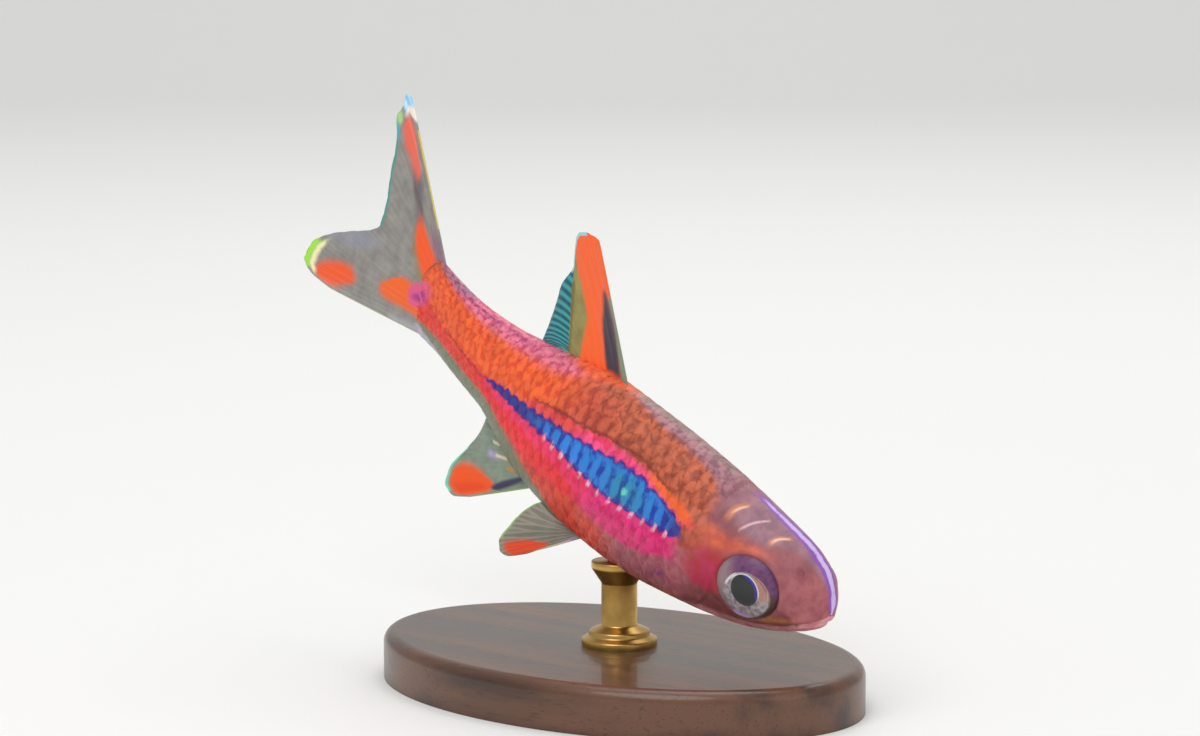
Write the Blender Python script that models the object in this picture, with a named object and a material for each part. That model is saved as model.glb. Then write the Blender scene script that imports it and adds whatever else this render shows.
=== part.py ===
"""Chili rasbora, a still life-size display model on a plain stand.

The fish is modelled level in its own frame: +X is the way it swims, +Y its left side, +Z its back,
and the origin lies on its middle line near the middle of the trunk. An empty then tips it nose
down and holds it over the stand. Lengths are in metres; the anatomy is given as fractions of the
standard length, which runs from the snout to the root of the tail fin.
"""

import math

import bmesh
import bpy
import numpy as np
from mathutils import Matrix, Vector

# Driving dimensions
STANDARD_LENGTH = 0.0160
GAP = 0.0003
NOSE_DOWN = math.radians(22.4)
CHIN_CLEARANCE = 0.0010
ORIGIN_STATION = 0.45

# Body profile along the standard length, as fractions of it
STATIONS = (0.0, 0.03, 0.08, 0.15, 0.27, 0.40, 0.52, 0.65, 0.78, 0.90, 1.0)
BACK = (0.0420, 0.0530, 0.0760, 0.0985, 0.1231, 0.1370, 0.1370, 0.1134, 0.0856, 0.0663, 0.0663)
BELLY = (0.0260, 0.0390, 0.0642, 0.0899, 0.1134, 0.1241, 0.1177, 0.0963, 0.0685, 0.0556, 0.0599)
WIDTH = (0.0290, 0.0370, 0.0534, 0.0657, 0.0739, 0.0718, 0.0657, 0.0513, 0.0369, 0.0246, 0.0144)
SNOUT_ROUND = 0.026

# Swimming bend: where the middle line points as it runs back, in degrees
BEND_STATIONS = (-0.1, 0.0, 0.35, 0.70, 1.0, 1.15, 1.5)
BEND_LEFT = (1.0, 1.0, 0.0, 10.5, 15.0, 21.5, 21.5)
BEND_UP = (-2.0, -2.0, 0.0, 3.0, 7.7, 7.7, 7.7)

# Head
GILL_EDGE = 0.285
GILL_EDGE_SWEEP = 0.055
GILL_COVER_FRONT = 0.190
GILL_COVER_CURVE = 0.045
GILL_COVER_ANGLES = (math.radians(56), math.radians(152))
GILL_COVER_RISE = 0.00028
GILL_COVER_STEP = 0.008
EYE_STATION = 0.132
EYE_HEIGHT = -0.007
EYE_RADIUS = 0.00080
EYE_HALF_DEPTH = 0.00036
EYE_PROUD = 0.00010
EYE_TOE_IN = math.radians(7)
SOCKET_GAP = 0.00020
MOUTH_FRONT = (0.0, -0.008)
MOUTH_CORNER = (0.052, -0.034)
MOUTH_GROOVE = 0.00008
MOUTH_SPAN = 0.97
LIP_RISE = 0.00006
LIP_WIDTH = 0.012
LIP_FADE = 0.012
NOSTRIL_STATIONS = (0.044, 0.062)
NOSTRIL_ANGLE = math.radians(47)
NOSTRIL_RADIUS = 0.00012

# Trunk and tail stalk
STALK_START = 0.775
BODY_SIDES = 36
HEAD_RINGS = 36
HEAD_RING_CROWDING = 1.35
TRUNK_RINGS = 14
STALK_RINGS = 8
END_FACE_SHARES = (0.33, 0.66)
OBLIQUE_GAP = 1.25

# Fins: thickness, ray ridges, and for each fin its root and its guide rays.
# A guide ray is (place across the fin, length, rise above the backward axis, lean to the left).
FIN_THICKNESS = 0.00050
FIN_TIP_THICKNESS = 0.00026
FIN_TAPER_START = 0.7
RAY_RIDGE = 0.00009
RAY_NOTCH = 0.025
FIN_STEPS = 7
DORSAL_ROOT = (0.512, 0.660)
DORSAL_RAYS = 9
DORSAL_GUIDES = (
    (0.0, 0.226, 55, -3), (0.25, 0.226, 51, -3), (0.5, 0.158, 39, 0),
    (0.75, 0.106, 21, 4), (1.0, 0.070, 5, 6),
)
ANAL_ROOT = (0.623, 0.750)
ANAL_RAYS = 8
ANAL_GUIDES = (
    (0.0, 0.143, -42, -4), (0.25, 0.171, -39, -5), (0.5, 0.122, -38, -5),
    (0.75, 0.070, -38, -1), (1.0, 0.045, -34, 0),
)
LOBE_ROOT_SHARE = 0.95
UPPER_LOBE_RAYS = 10
UPPER_LOBE_GUIDES = (
    (0.0, 0.332, 29.5, 4), (0.2, 0.318, 27, 3), (0.5, 0.250, 19, 2),
    (0.75, 0.208, 11, 1), (1.0, 0.198, 1.5, 0),
)
LOWER_LOBE_RAYS = 9
LOWER_LOBE_GUIDES = (
    (0.0, 0.272, -21, 0), (0.3, 0.360, -18, -2), (0.5, 0.336, -13, -2.5),
    (0.75, 0.270, -7.5, -1), (1.0, 0.198, -1.5, 0),
)
PELVIC_ROOT = (0.470, 0.505)
PELVIC_ROOT_SIDE = (0.026, 0.017)
PELVIC_ROOT_DROP = 0.00012
PELVIC_RAYS = 7
PELVIC_GUIDES = (
    (0.0, 0.138, -40, 14), (0.3, 0.148, -32, 20), (0.6, 0.116, -19, 20),
    (0.8, 0.096, -10, 15), (1.0, 0.078, -3, 10),
)
PECTORAL_ROOT = (0.312, 0.322)
PECTORAL_ROOT_ANGLE = (math.radians(102), math.radians(119))
PECTORAL_RAYS = 9
PECTORAL_GUIDES = (
    (0.0, 0.150, -3, 15), (0.3, 0.155, -8, 15), (0.6, 0.130, -15, 15), (1.0, 0.075, -27, 16),
)

# Colours and surface
HEAD_COLOUR = (0.50, 0.30, 0.28)
TRUNK_COLOUR = (0.80, 0.16, 0.14)
STALK_COLOUR = (0.85, 0.25, 0.16)
EYE_COLOUR = (0.10, 0.09, 0.11)
RED_FIN_COLOUR = (0.85, 0.30, 0.16)
CLEAR_FIN_COLOUR = (0.55, 0.53, 0.45)
BASE_COLOUR = (0.12, 0.075, 0.05)
ROD_COLOUR = (0.75, 0.58, 0.32)
CUTTER_COLOUR = (0.5, 0.5, 0.5)
SKIN_ROUGHNESS = 0.35
FIN_ROUGHNESS = 0.30
EYE_ROUGHNESS = 0.08
BASE_ROUGHNESS = 0.40
ROD_ROUGHNESS = 0.25
SHARP_ANGLE = math.radians(50)

# Stand
BASE_LENGTH = 0.0136
BASE_WIDTH = 0.0092
BASE_THICKNESS = 0.0012
BASE_EDGE = 0.0003
BASE_SIDES = 64
ROD_RADIUS = 0.00050
ROD_STATION = 0.40
ROD_SIDES = 24

# Merge distance after a Boolean
WELD = 0.000002


def smooth_curve(stations, values):
    """A smooth curve through the values that never overshoots them."""
    x = np.array(stations, float)
    y = np.array(values, float)
    step = np.diff(x)
    rise = np.diff(y) / step
    slope = np.concatenate([[rise[0]], np.zeros(len(x) - 2), [rise[-1]]])
    for i in range(1, len(x) - 1):
        if rise[i - 1] * rise[i] > 0:
            before = 2 * step[i] + step[i - 1]
            after = step[i] + 2 * step[i - 1]
            slope[i] = (before + after) / (before / rise[i - 1] + after / rise[i])

    def value(s):
        i = int(min(max(np.searchsorted(x, s) - 1, 0), len(x) - 2))
        t = min(max((s - x[i]) / step[i], 0.0), 1.0)
        start = y[i] * (1 + 2 * t) + slope[i] * step[i] * t
        end = y[i + 1] * (3 - 2 * t) - slope[i + 1] * step[i] * (1 - t)
        return float(start * (1 - t) ** 2 + end * t * t)

    return value


back_height = smooth_curve(STATIONS, BACK)
belly_depth = smooth_curve(STATIONS, BELLY)
half_width = smooth_curve(STATIONS, WIDTH)
bend_left = smooth_curve(BEND_STATIONS, BEND_LEFT)
bend_up = smooth_curve(BEND_STATIONS, BEND_UP)


def backward(s):
    """The direction in which the middle line runs back at a station."""
    left = math.radians(bend_left(s))
    up = math.radians(bend_up(s))
    return Vector((-math.cos(left) * math.cos(up), math.sin(left) * math.cos(up), math.sin(up)))


def walk_middle_line(steps=320):
    """Points along the middle line, added up from its directions, with the origin at its station."""
    stations = np.linspace(BEND_STATIONS[0], BEND_STATIONS[-1], steps + 1)
    points = [Vector((0, 0, 0))]
    for a, b in zip(stations, stations[1:]):
        points.append(points[-1] + backward((a + b) / 2) * float(b - a))
    line = np.array(points)
    origin = [np.interp(ORIGIN_STATION, stations, line[:, k]) for k in range(3)]
    return stations, line - origin


LINE_STATIONS, LINE_POINTS = walk_middle_line()


def axes(s):
    """Place and directions of the body at a station: middle point, backward, left, up."""
    centre = Vector([float(np.interp(s, LINE_STATIONS, LINE_POINTS[:, k])) for k in range(3)])
    back = backward(s)
    up = (Vector((0, 0, 1)) - back * back.z).normalized()
    left = up.cross(-back)
    return centre, back, left, up


def at(s, side, height):
    """A point beside the middle line, given as fractions of the standard length."""
    centre, _, left, up = axes(s)
    return (centre + left * side + up * height) * STANDARD_LENGTH


def blunt(s):
    """How far the body has opened out behind the rounded tip of the snout, from 0 to 1."""
    return math.sqrt(max(1 - max(1 - s / SNOUT_ROUND, 0.0) ** 2, 0.0))


def section(s, angle):
    """Side and height of the skin round a station, with the angle measured from the back."""
    height = back_height(s) if math.cos(angle) > 0 else belly_depth(s)
    return half_width(s) * math.sin(angle) * blunt(s), height * math.cos(angle) * blunt(s)


def skin(s, angle, lift=0.0):
    """A point of the skin, lifted by a length along the skin's normal in its cross-section."""
    side, height = section(s, angle)
    tall = back_height(s) if math.cos(angle) > 0 else belly_depth(s)
    normal = Vector((math.sin(angle) * tall, math.cos(angle) * half_width(s))).normalized()
    rise = lift / STANDARD_LENGTH
    return at(s, side + normal.x * rise, height + normal.y * rise)


def finish(name, bm, colour, roughness, metallic=0.0, parent=None):
    """Turn a bmesh into the named object with its own material."""
    bmesh.ops.recalc_face_normals(bm, faces=bm.faces)
    mesh = bpy.data.meshes.new(name)
    bm.to_mesh(mesh)
    bm.free()
    mesh.shade_smooth()
    mesh.set_sharp_from_angle(angle=SHARP_ANGLE)
    thing = bpy.data.objects.new(name, mesh)
    bpy.context.collection.objects.link(thing)
    thing.parent = parent
    material = bpy.data.materials.new(name)
    material.use_nodes = True
    shader = material.node_tree.nodes["Principled BSDF"]
    shader.inputs["Base Color"].default_value = (*colour, 1.0)
    shader.inputs["Roughness"].default_value = roughness
    shader.inputs["Metallic"].default_value = metallic
    mesh.materials.append(material)
    return thing


def loft(rings):
    """A closed bmesh through rings of points; a ring of one point closes an end."""
    bm = bmesh.new()
    rows = [[bm.verts.new(p) for p in ring] for ring in rings]
    for low, high in zip(rows, rows[1:]):
        count = max(len(low), len(high))
        for i in range(count):
            j = (i + 1) % count
            corners = [low[i % len(low)], low[j % len(low)], high[j % len(high)], high[i % len(high)]]
            bm.faces.new(list(dict.fromkeys(corners)))
    return bm


def boolean(target, cutter, operation):
    """Apply one exact Boolean and delete the cutter."""
    modifier = target.modifiers.new(operation, "BOOLEAN")
    modifier.operation = operation
    modifier.solver = "EXACT"
    modifier.object = cutter
    graph = bpy.context.evaluated_depsgraph_get()
    result = bpy.data.meshes.new_from_object(target.evaluated_get(graph))
    target.modifiers.clear()
    old = target.data
    result.name = target.name
    target.data = result
    bpy.data.meshes.remove(old)
    bpy.data.objects.remove(cutter)


def keep_largest(target):
    """Keep only the largest closed surface of an object."""
    bm = bmesh.new()
    bm.from_mesh(target.data)
    bmesh.ops.remove_doubles(bm, verts=bm.verts, dist=WELD)
    left = set(bm.faces)
    islands = []
    while left:
        island = {left.pop()}
        edge = list(island)
        while edge:
            for e in edge.pop().edges:
                for face in e.link_faces:
                    if face in left:
                        left.discard(face)
                        island.add(face)
                        edge.append(face)
        islands.append(island)
    islands.sort(key=lambda faces: sum(f.calc_area() for f in faces))
    bmesh.ops.delete(bm, geom=[f for faces in islands[:-1] for f in faces], context="FACES")
    bmesh.ops.delete(bm, geom=[v for v in bm.verts if not v.link_faces], context="VERTS")
    bm.to_mesh(target.data)
    bm.free()


def hidden_cutter(name, bm, parent):
    """A closed body that only cuts others."""
    cutter = finish(name, bm, CUTTER_COLOUR, SKIN_ROUGHNESS, parent=parent)
    cutter.hide_render = True
    cutter.display_type = "WIRE"
    return cutter


def gill_line(height_share, shift=0.0):
    """Station of the rear edge of the gill cover, furthest back at mid height."""
    return GILL_EDGE - GILL_EDGE_SWEEP * height_share ** 2 + shift


def ring_angles():
    """The angles round the body at which every ring has its points."""
    return [2 * math.pi * i / BODY_SIDES for i in range(BODY_SIDES)]


def gill_face_rings(shift, shares):
    """Rings over the curved face along the gill cover's edge, each a share of the way out."""
    rings = []
    for share in shares:
        ring = []
        for angle in ring_angles():
            s = gill_line(share * math.cos(angle), shift)
            side, height = section(s, angle)
            ring.append(at(s, side * share, height * share))
        rings.append(ring)
    return rings


def mouth_height(s):
    """Height of the line of the mouth, which runs down and back from the tip of the snout."""
    run = (s - MOUTH_FRONT[0]) / (MOUTH_CORNER[0] - MOUTH_FRONT[0])
    return MOUTH_FRONT[1] + (MOUTH_CORNER[1] - MOUTH_FRONT[1]) * run


def lip_lift(s, angle):
    """Swelling of the lips above and below the line of the mouth."""
    across = (section(s, angle)[1] - mouth_height(s)) / LIP_WIDTH
    fade = min(max((MOUTH_CORNER[0] - s) / LIP_FADE + 0.5, 0.0), 1.0)
    return LIP_RISE * math.exp(-(across ** 4)) * fade


def gill_cover_lift(s, angle):
    """The gill cover, a plate that stands a little proud of the cheek behind the eye."""
    turn = min(angle, 2 * math.pi - angle)
    top, bottom = GILL_COVER_ANGLES
    share = (turn - top) / (bottom - top)
    if not 0 < share < 1:
        return 0.0
    front = GILL_COVER_FRONT + GILL_COVER_CURVE * (2 * share - 1) ** 2
    step = min(max((s - front) / GILL_COVER_STEP + 0.5, 0.0), 1.0)
    ends = min(1.0, 8 * min(share, 1 - share))
    return GILL_COVER_RISE * step * ends


def build_head(parent):
    """Head from the snout to the gill edge, with lips and gill covers."""
    rings = [[at(0, 0, 0)]]
    for step in range(1, HEAD_RINGS + 1):
        share = (step / HEAD_RINGS) ** HEAD_RING_CROWDING
        ring = []
        for angle in ring_angles():
            s = gill_line(math.cos(angle)) * share
            ring.append(skin(s, angle, lip_lift(s, angle) + gill_cover_lift(s, angle)))
        rings.append(ring)
    rings += gill_face_rings(0.0, reversed(END_FACE_SHARES))
    rings.append([at(gill_line(0), 0, 0)])
    return finish("head", loft(rings), HEAD_COLOUR, SKIN_ROUGHNESS, parent=parent)


def mouth_point(side):
    """Point of the skin where the line of the mouth passes at a distance beside the middle."""
    inside, outside = EYE_STATION, 0.0
    for _ in range(40):
        s = (inside + outside) / 2
        reach = math.hypot(side / half_width(s), mouth_height(s) / belly_depth(s))
        if reach > blunt(s):
            outside = s
        else:
            inside = s
    return at(inside, side, mouth_height(inside))


def mouth_groove(steps=24, sides=8):
    """A thin tube laid along the line of the mouth, from corner to corner round the snout."""
    span = half_width(MOUTH_CORNER[0]) * MOUTH_SPAN
    path = [mouth_point(span * math.sin(math.pi * (i / steps - 0.5))) for i in range(steps + 1)]
    rings = []
    for before, point, after in zip(path[:1] + path, path, path[1:] + path[-1:]):
        along = (after - before).normalized()
        over = along.cross(Vector((0, 0, 1))).normalized() * MOUTH_GROOVE
        under = along.cross(over)
        turns = [2 * math.pi * k / sides for k in range(sides)]
        rings.append([point + over * math.cos(t) + under * math.sin(t) for t in turns])
    return loft([[path[0]], *rings, [path[-1]]])


def eye_body(side, grow):
    """An eyeball, a flattened ball that faces outwards and slightly forwards."""
    bm = bmesh.new()
    bmesh.ops.create_uvsphere(bm, u_segments=24, v_segments=12, radius=1.0)
    depth = EYE_HALF_DEPTH + grow
    size = Matrix.Diagonal((EYE_RADIUS + grow, EYE_RADIUS + grow, depth, 1.0))
    surface = section(EYE_STATION, math.pi / 2)[0] * STANDARD_LENGTH
    middle = at(EYE_STATION, 0, EYE_HEIGHT) + Vector((0, side * (surface + EYE_PROUD - EYE_HALF_DEPTH), 0))
    outward = Matrix.Rotation(-side * math.pi / 2, 4, "X")
    forward = Matrix.Rotation(-side * EYE_TOE_IN, 4, "Z")
    place = Matrix.Translation(middle) @ forward @ outward @ size
    bmesh.ops.transform(bm, matrix=place, verts=bm.verts)
    return bm


def nostril_pits():
    """Two small pits on each side of the snout, in front of the eye."""
    bm = bmesh.new()
    for side in (-1, 1):
        for s in NOSTRIL_STATIONS:
            place = Matrix.Translation(skin(s, side * NOSTRIL_ANGLE, NOSTRIL_RADIUS * 0.25))
            bmesh.ops.create_uvsphere(bm, u_segments=8, v_segments=6, radius=NOSTRIL_RADIUS, matrix=place)
    return bm


def build_eyes(head, parent):
    """The eyeballs, each in a socket cut into the head with a little room round it."""
    for side, name in ((-1, "right"), (1, "left")):
        boolean(head, hidden_cutter("socket", eye_body(side, SOCKET_GAP), parent), "DIFFERENCE")
        finish("eye_" + name, eye_body(side, 0.0), EYE_COLOUR, EYE_ROUGHNESS, parent=parent)


def build_trunk(parent):
    """Trunk from the gill edge to the tail stalk."""
    shift = OBLIQUE_GAP * GAP / STANDARD_LENGTH
    rings = [[at(gill_line(0, shift), 0, 0)]]
    rings += gill_face_rings(shift, (*END_FACE_SHARES, 1.0))
    for step in range(1, TRUNK_RINGS + 1):
        share = step / TRUNK_RINGS
        ring = []
        for angle in ring_angles():
            s = gill_line(math.cos(angle), shift) * (1 - share) + STALK_START * share
            ring.append(skin(s, angle))
        rings.append(ring)
    rings.append([at(STALK_START, 0, 0)])
    finish("trunk", loft(rings), TRUNK_COLOUR, SKIN_ROUGHNESS, parent=parent)


def build_tail_stalk(parent):
    """Tail stalk from the trunk to the root of the tail fin."""
    stations = np.linspace(STALK_START + GAP / STANDARD_LENGTH, 1.0, STALK_RINGS)
    rings = [[at(stations[0], 0, 0)]]
    rings += [[skin(s, angle) for angle in ring_angles()] for s in stations]
    rings.append([at(1.0, 0, 0)])
    finish("tail_stalk", loft(rings), STALK_COLOUR, SKIN_ROUGHNESS, parent=parent)


def build_body(parent):
    """Head with its mouth, nostrils and eyes, then the trunk and the tail stalk."""
    head = build_head(parent)
    boolean(head, hidden_cutter("mouth_cut", mouth_groove(), parent), "DIFFERENCE")
    boolean(head, hidden_cutter("nostril_cut", nostril_pits(), parent), "DIFFERENCE")
    build_eyes(head, parent)
    keep_largest(head)
    build_trunk(parent)
    build_tail_stalk(parent)


def guide(guides):
    """Length and direction of a fin's rays, read smoothly between its guide rays."""
    place = [g[0] for g in guides]
    return [smooth_curve(place, [g[k] for g in guides]) for k in (1, 2, 3)]


def ray_sheet(rays, root, guides, side):
    """Points of a fin's middle sheet, one row for each ray and for each gap between two rays.

    root(u) gives the station and the point where the ray at place u across the fin starts.
    """
    length, rise, lean = guide(guides)
    rows = []
    for i in range(2 * rays + 1):
        u = i / (2 * rays)
        s, start = root(u)
        _, back, left, up = axes(s)
        tilt = math.radians(rise(u))
        out = math.radians(lean(u)) * side
        along = (back * math.cos(tilt) + up * math.sin(tilt)) * math.cos(out) + left * math.sin(out)
        on_ray = i % 2 == 1
        reach = (length(u) * STANDARD_LENGTH - GAP) * (1.0 if on_ray else 1.0 - RAY_NOTCH)
        rows.append([start + along * reach * j / FIN_STEPS for j in range(FIN_STEPS + 1)])
    return rows


def half_thickness(share, on_ray):
    """Half the fin's thickness a share of the way to its rim, with the ridge of a ray on it."""
    thinning = max(0.0, share - FIN_TAPER_START) / (1 - FIN_TAPER_START)
    membrane = FIN_THICKNESS + (FIN_TIP_THICKNESS - FIN_THICKNESS) * thinning
    ridge = RAY_RIDGE * min(1.0, 3 * share) * (1 - 0.6 * share) if on_ray else 0.0
    return membrane / 2 + ridge


def fin_face(bm, rows, sign):
    """The points of one face of a fin, lifted off the middle sheet along its normal."""
    last = len(rows) - 1
    face = []
    for i, row in enumerate(rows):
        before, after = rows[max(i - 1, 0)], rows[min(i + 1, last)]
        line = []
        for j, point in enumerate(row):
            along = row[min(j + 1, FIN_STEPS)] - row[max(j - 1, 0)]
            normal = (after[j] - before[j]).cross(along).normalized()
            line.append(bm.verts.new(point + normal * sign * half_thickness(j / FIN_STEPS, i % 2 == 1)))
        face.append(line)
    return face


def fin(name, rays, root, guides, colour, parent, side=1):
    """A fin as one closed sheet, its rays raised as ridges in both faces."""
    rows = ray_sheet(rays, root, guides, side)
    last = len(rows) - 1
    bm = bmesh.new()
    near, far = (fin_face(bm, rows, sign) for sign in (1, -1))
    for face in (near, far):
        for i in range(last):
            for j in range(FIN_STEPS):
                a, b, c, d = face[i][j], face[i + 1][j], face[i + 1][j + 1], face[i][j + 1]
                bm.faces.new((a, b, c))
                bm.faces.new((a, c, d))
    rim = [(i, 0) for i in range(last)] + [(last, j) for j in range(FIN_STEPS)]
    rim += [(i, FIN_STEPS) for i in range(last, 0, -1)] + [(0, j) for j in range(FIN_STEPS, 0, -1)]
    for (i, j), (k, m) in zip(rim, rim[1:] + rim[:1]):
        bm.faces.new((near[i][j], near[k][m], far[k][m], far[i][j]))
    return finish(name, bm, colour, FIN_ROUGHNESS, parent=parent)


def median_root(ends, top):
    """Root of a fin on the middle line of the back or the belly."""
    def root(u):
        s = ends[0] + (ends[1] - ends[0]) * u
        return s, skin(s, 0 if top else math.pi, GAP)
    return root


def tail_root(edge):
    """Root of a tail fin lobe on the end face of the tail stalk, from its edge to the middle."""
    inner = math.copysign(OBLIQUE_GAP * GAP / 2 / STANDARD_LENGTH, edge)

    def root(u):
        _, back, _, _ = axes(1.0)
        return 1.0, at(1.0, 0, edge + (inner - edge) * u) + back * GAP
    return root


def pelvic_root(side):
    """Root of a pelvic fin beside the middle line of the belly."""
    def root(u):
        s = PELVIC_ROOT[0] + (PELVIC_ROOT[1] - PELVIC_ROOT[0]) * u
        out = PELVIC_ROOT_SIDE[0] + (PELVIC_ROOT_SIDE[1] - PELVIC_ROOT_SIDE[0]) * u
        return s, at(s, side * out, -belly_depth(s) - PELVIC_ROOT_DROP / STANDARD_LENGTH)
    return root


def pectoral_root(side):
    """Root of a pectoral fin low on the flank, just behind the gill cover."""
    lift = GAP + FIN_THICKNESS / 2

    def root(u):
        s = PECTORAL_ROOT[0] + (PECTORAL_ROOT[1] - PECTORAL_ROOT[0]) * u
        angle = PECTORAL_ROOT_ANGLE[0] + (PECTORAL_ROOT_ANGLE[1] - PECTORAL_ROOT_ANGLE[0]) * u
        return s, skin(s, side * angle, lift)
    return root


def build_fins(parent):
    """The unpaired fins, then the paired ones."""
    upper = tail_root(back_height(1.0) * LOBE_ROOT_SHARE)
    lower = tail_root(-belly_depth(1.0) * LOBE_ROOT_SHARE)
    clear = CLEAR_FIN_COLOUR
    fin("dorsal_fin", DORSAL_RAYS, median_root(DORSAL_ROOT, True), DORSAL_GUIDES, RED_FIN_COLOUR, parent)
    fin("anal_fin", ANAL_RAYS, median_root(ANAL_ROOT, False), ANAL_GUIDES, clear, parent)
    fin("caudal_fin_upper", UPPER_LOBE_RAYS, upper, UPPER_LOBE_GUIDES, clear, parent)
    fin("caudal_fin_lower", LOWER_LOBE_RAYS, lower, LOWER_LOBE_GUIDES, clear, parent)
    for side, name in ((-1, "right"), (1, "left")):
        fin("pelvic_fin_" + name, PELVIC_RAYS, pelvic_root(side), PELVIC_GUIDES, clear, parent, side)
        fin("pectoral_fin_" + name, PECTORAL_RAYS, pectoral_root(side), PECTORAL_GUIDES, clear, parent, side)


def build_base():
    """An oval base plate with a rounded upper edge."""
    bm = bmesh.new()
    bmesh.ops.create_cone(
        bm, cap_ends=True, segments=BASE_SIDES, radius1=0.5, radius2=0.5, depth=BASE_THICKNESS,
        matrix=Matrix.Translation((0, 0, BASE_THICKNESS / 2)),
    )
    bmesh.ops.scale(bm, vec=(BASE_LENGTH, BASE_WIDTH, 1), verts=bm.verts)
    top = [e for e in bm.edges if all(v.co.z > BASE_THICKNESS / 2 for v in e.verts)]
    bmesh.ops.bevel(bm, geom=top, offset=BASE_EDGE, segments=3, profile=0.5, affect="EDGES", material=-1)
    finish("stand_base", bm, BASE_COLOUR, BASE_ROUGHNESS)


def build_rod(belly, slope):
    """A short upright rod whose top is cut parallel to the belly over it."""
    foot = BASE_THICKNESS + GAP
    top = belly.z - GAP / math.cos(slope)
    middle = (top + foot) / 2
    bm = bmesh.new()
    bmesh.ops.create_cone(
        bm, cap_ends=True, segments=ROD_SIDES, radius1=ROD_RADIUS, radius2=ROD_RADIUS, depth=top - foot,
        matrix=Matrix.Translation((belly.x, belly.y, middle)),
    )
    for v in bm.verts:
        if v.co.z > middle:
            v.co.z += (v.co.x - belly.x) * math.tan(slope)
    finish("stand_rod", bm, ROD_COLOUR, ROD_ROUGHNESS, metallic=1.0)


def build():
    """Clear the scene, hold the fish over the stand and make every part."""
    for thing in list(bpy.data.objects):
        bpy.data.objects.remove(thing)
    turn = Matrix.Rotation(NOSE_DOWN, 4, "Y")
    belly = turn @ skin(ROD_STATION, math.pi)
    chin = min((turn @ skin(s, math.pi)).z for s in np.linspace(0, 0.5, 51))
    height = BASE_THICKNESS + CHIN_CLEARANCE - chin
    fish = bpy.data.objects.new("fish_pose", None)
    bpy.context.collection.objects.link(fish)
    fish.location = (-belly.x, 0, height)
    fish.rotation_euler = (0, NOSE_DOWN, 0)
    bpy.context.view_layer.update()
    build_body(fish)
    build_fins(fish)
    ahead = turn @ skin(ROD_STATION - ROD_RADIUS / STANDARD_LENGTH, math.pi)
    slope = math.atan2(ahead.z - belly.z, ahead.x - belly.x)
    build_base()
    build_rod(Vector((0, belly.y, belly.z + height)), slope)


build()
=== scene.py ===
# %% [markdown]
# A small red fish, a chili rasbora, hangs nose down over a plain stand, as a museum would show it.
# The solids of the fish and of its stand come from a packed frame, already in place and in metres.
# This lesson dresses them: one soft skin over all the flesh, a coat of scales, eyes with depth,
# thin fins with their rays, and a finish for the stand. The CAD box is kept to compare sizes later.

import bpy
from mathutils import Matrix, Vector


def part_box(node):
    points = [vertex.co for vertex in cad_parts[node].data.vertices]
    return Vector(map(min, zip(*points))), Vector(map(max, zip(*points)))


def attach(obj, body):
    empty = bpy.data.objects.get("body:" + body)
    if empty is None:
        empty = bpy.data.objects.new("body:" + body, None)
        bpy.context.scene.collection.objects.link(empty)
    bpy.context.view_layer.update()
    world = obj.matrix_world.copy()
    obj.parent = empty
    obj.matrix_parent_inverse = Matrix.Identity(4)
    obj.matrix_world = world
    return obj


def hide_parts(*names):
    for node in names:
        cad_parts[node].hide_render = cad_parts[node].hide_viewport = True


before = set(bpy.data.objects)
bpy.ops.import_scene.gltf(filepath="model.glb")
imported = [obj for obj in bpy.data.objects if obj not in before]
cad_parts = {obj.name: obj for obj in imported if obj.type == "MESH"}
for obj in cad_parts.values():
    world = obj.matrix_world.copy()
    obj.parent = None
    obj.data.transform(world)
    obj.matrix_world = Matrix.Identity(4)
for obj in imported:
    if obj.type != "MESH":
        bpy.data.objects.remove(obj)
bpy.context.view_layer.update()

# %% Tools used all through
import math
import random

import bmesh
import bpy
import numpy as np
from mathutils import Matrix, Vector

scene = bpy.context.scene
rng = random.Random(7)


def mesh_of(bm, name):
    """A new mesh from a bmesh, which is then freed."""
    mesh = bpy.data.meshes.new(name)
    bm.to_mesh(mesh)
    bm.free()
    return mesh


print("Blender", bpy.app.version_string)

# %% [markdown]
# The body is a tube round a bent middle line. A few sizes say how high the back, how deep the
# belly and how wide the flanks are at chosen stations, as shares of the standard length, the
# length from the snout to the root of the tail. A smooth curve joins them. One could sculpt the
# fish by hand instead, but a rule lets skin, scales, markings and fins all find the same surface.

# %% Sizes of the fish
STANDARD_LENGTH = 0.0160
NOSE_DOWN = math.radians(22.4)
CHIN_CLEARANCE = 0.0010
BASE_THICKNESS = 0.0012
ORIGIN_STATION = 0.45
ROD_STATION = 0.40
STATIONS = (0.0, 0.03, 0.08, 0.15, 0.27, 0.40, 0.52, 0.65, 0.78, 0.90, 1.0)
BACK = (0.0420, 0.0540, 0.0785, 0.0955, 0.1190, 0.1345, 0.1400, 0.1170, 0.0875, 0.0715, 0.0685)
BELLY = (0.0260, 0.0385, 0.0652, 0.0910, 0.1134, 0.1260, 0.1200, 0.1030, 0.0625, 0.0600, 0.0690)
WIDTH = (0.0290, 0.0370, 0.0534, 0.0657, 0.0739, 0.0718, 0.0657, 0.0513, 0.0369, 0.0246, 0.0144)
SNOUT_START = 0.010
SNOUT_ROUND = 0.036
TAIL_THINS = 0.86
TAIL_ROUNDS = 1.0
TAIL_END = 1.04
BEND_STATIONS = (-0.1, 0.0, 0.35, 0.70, 1.0, 1.15, 1.5)
BEND_LEFT = (1.0, 1.0, 0.0, 10.5, 15.0, 21.5, 21.5)
BEND_UP = (-2.0, -2.0, 0.0, 3.0, 7.7, 7.7, 7.7)

print("standard length, mm:", STANDARD_LENGTH * 1000)

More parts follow.
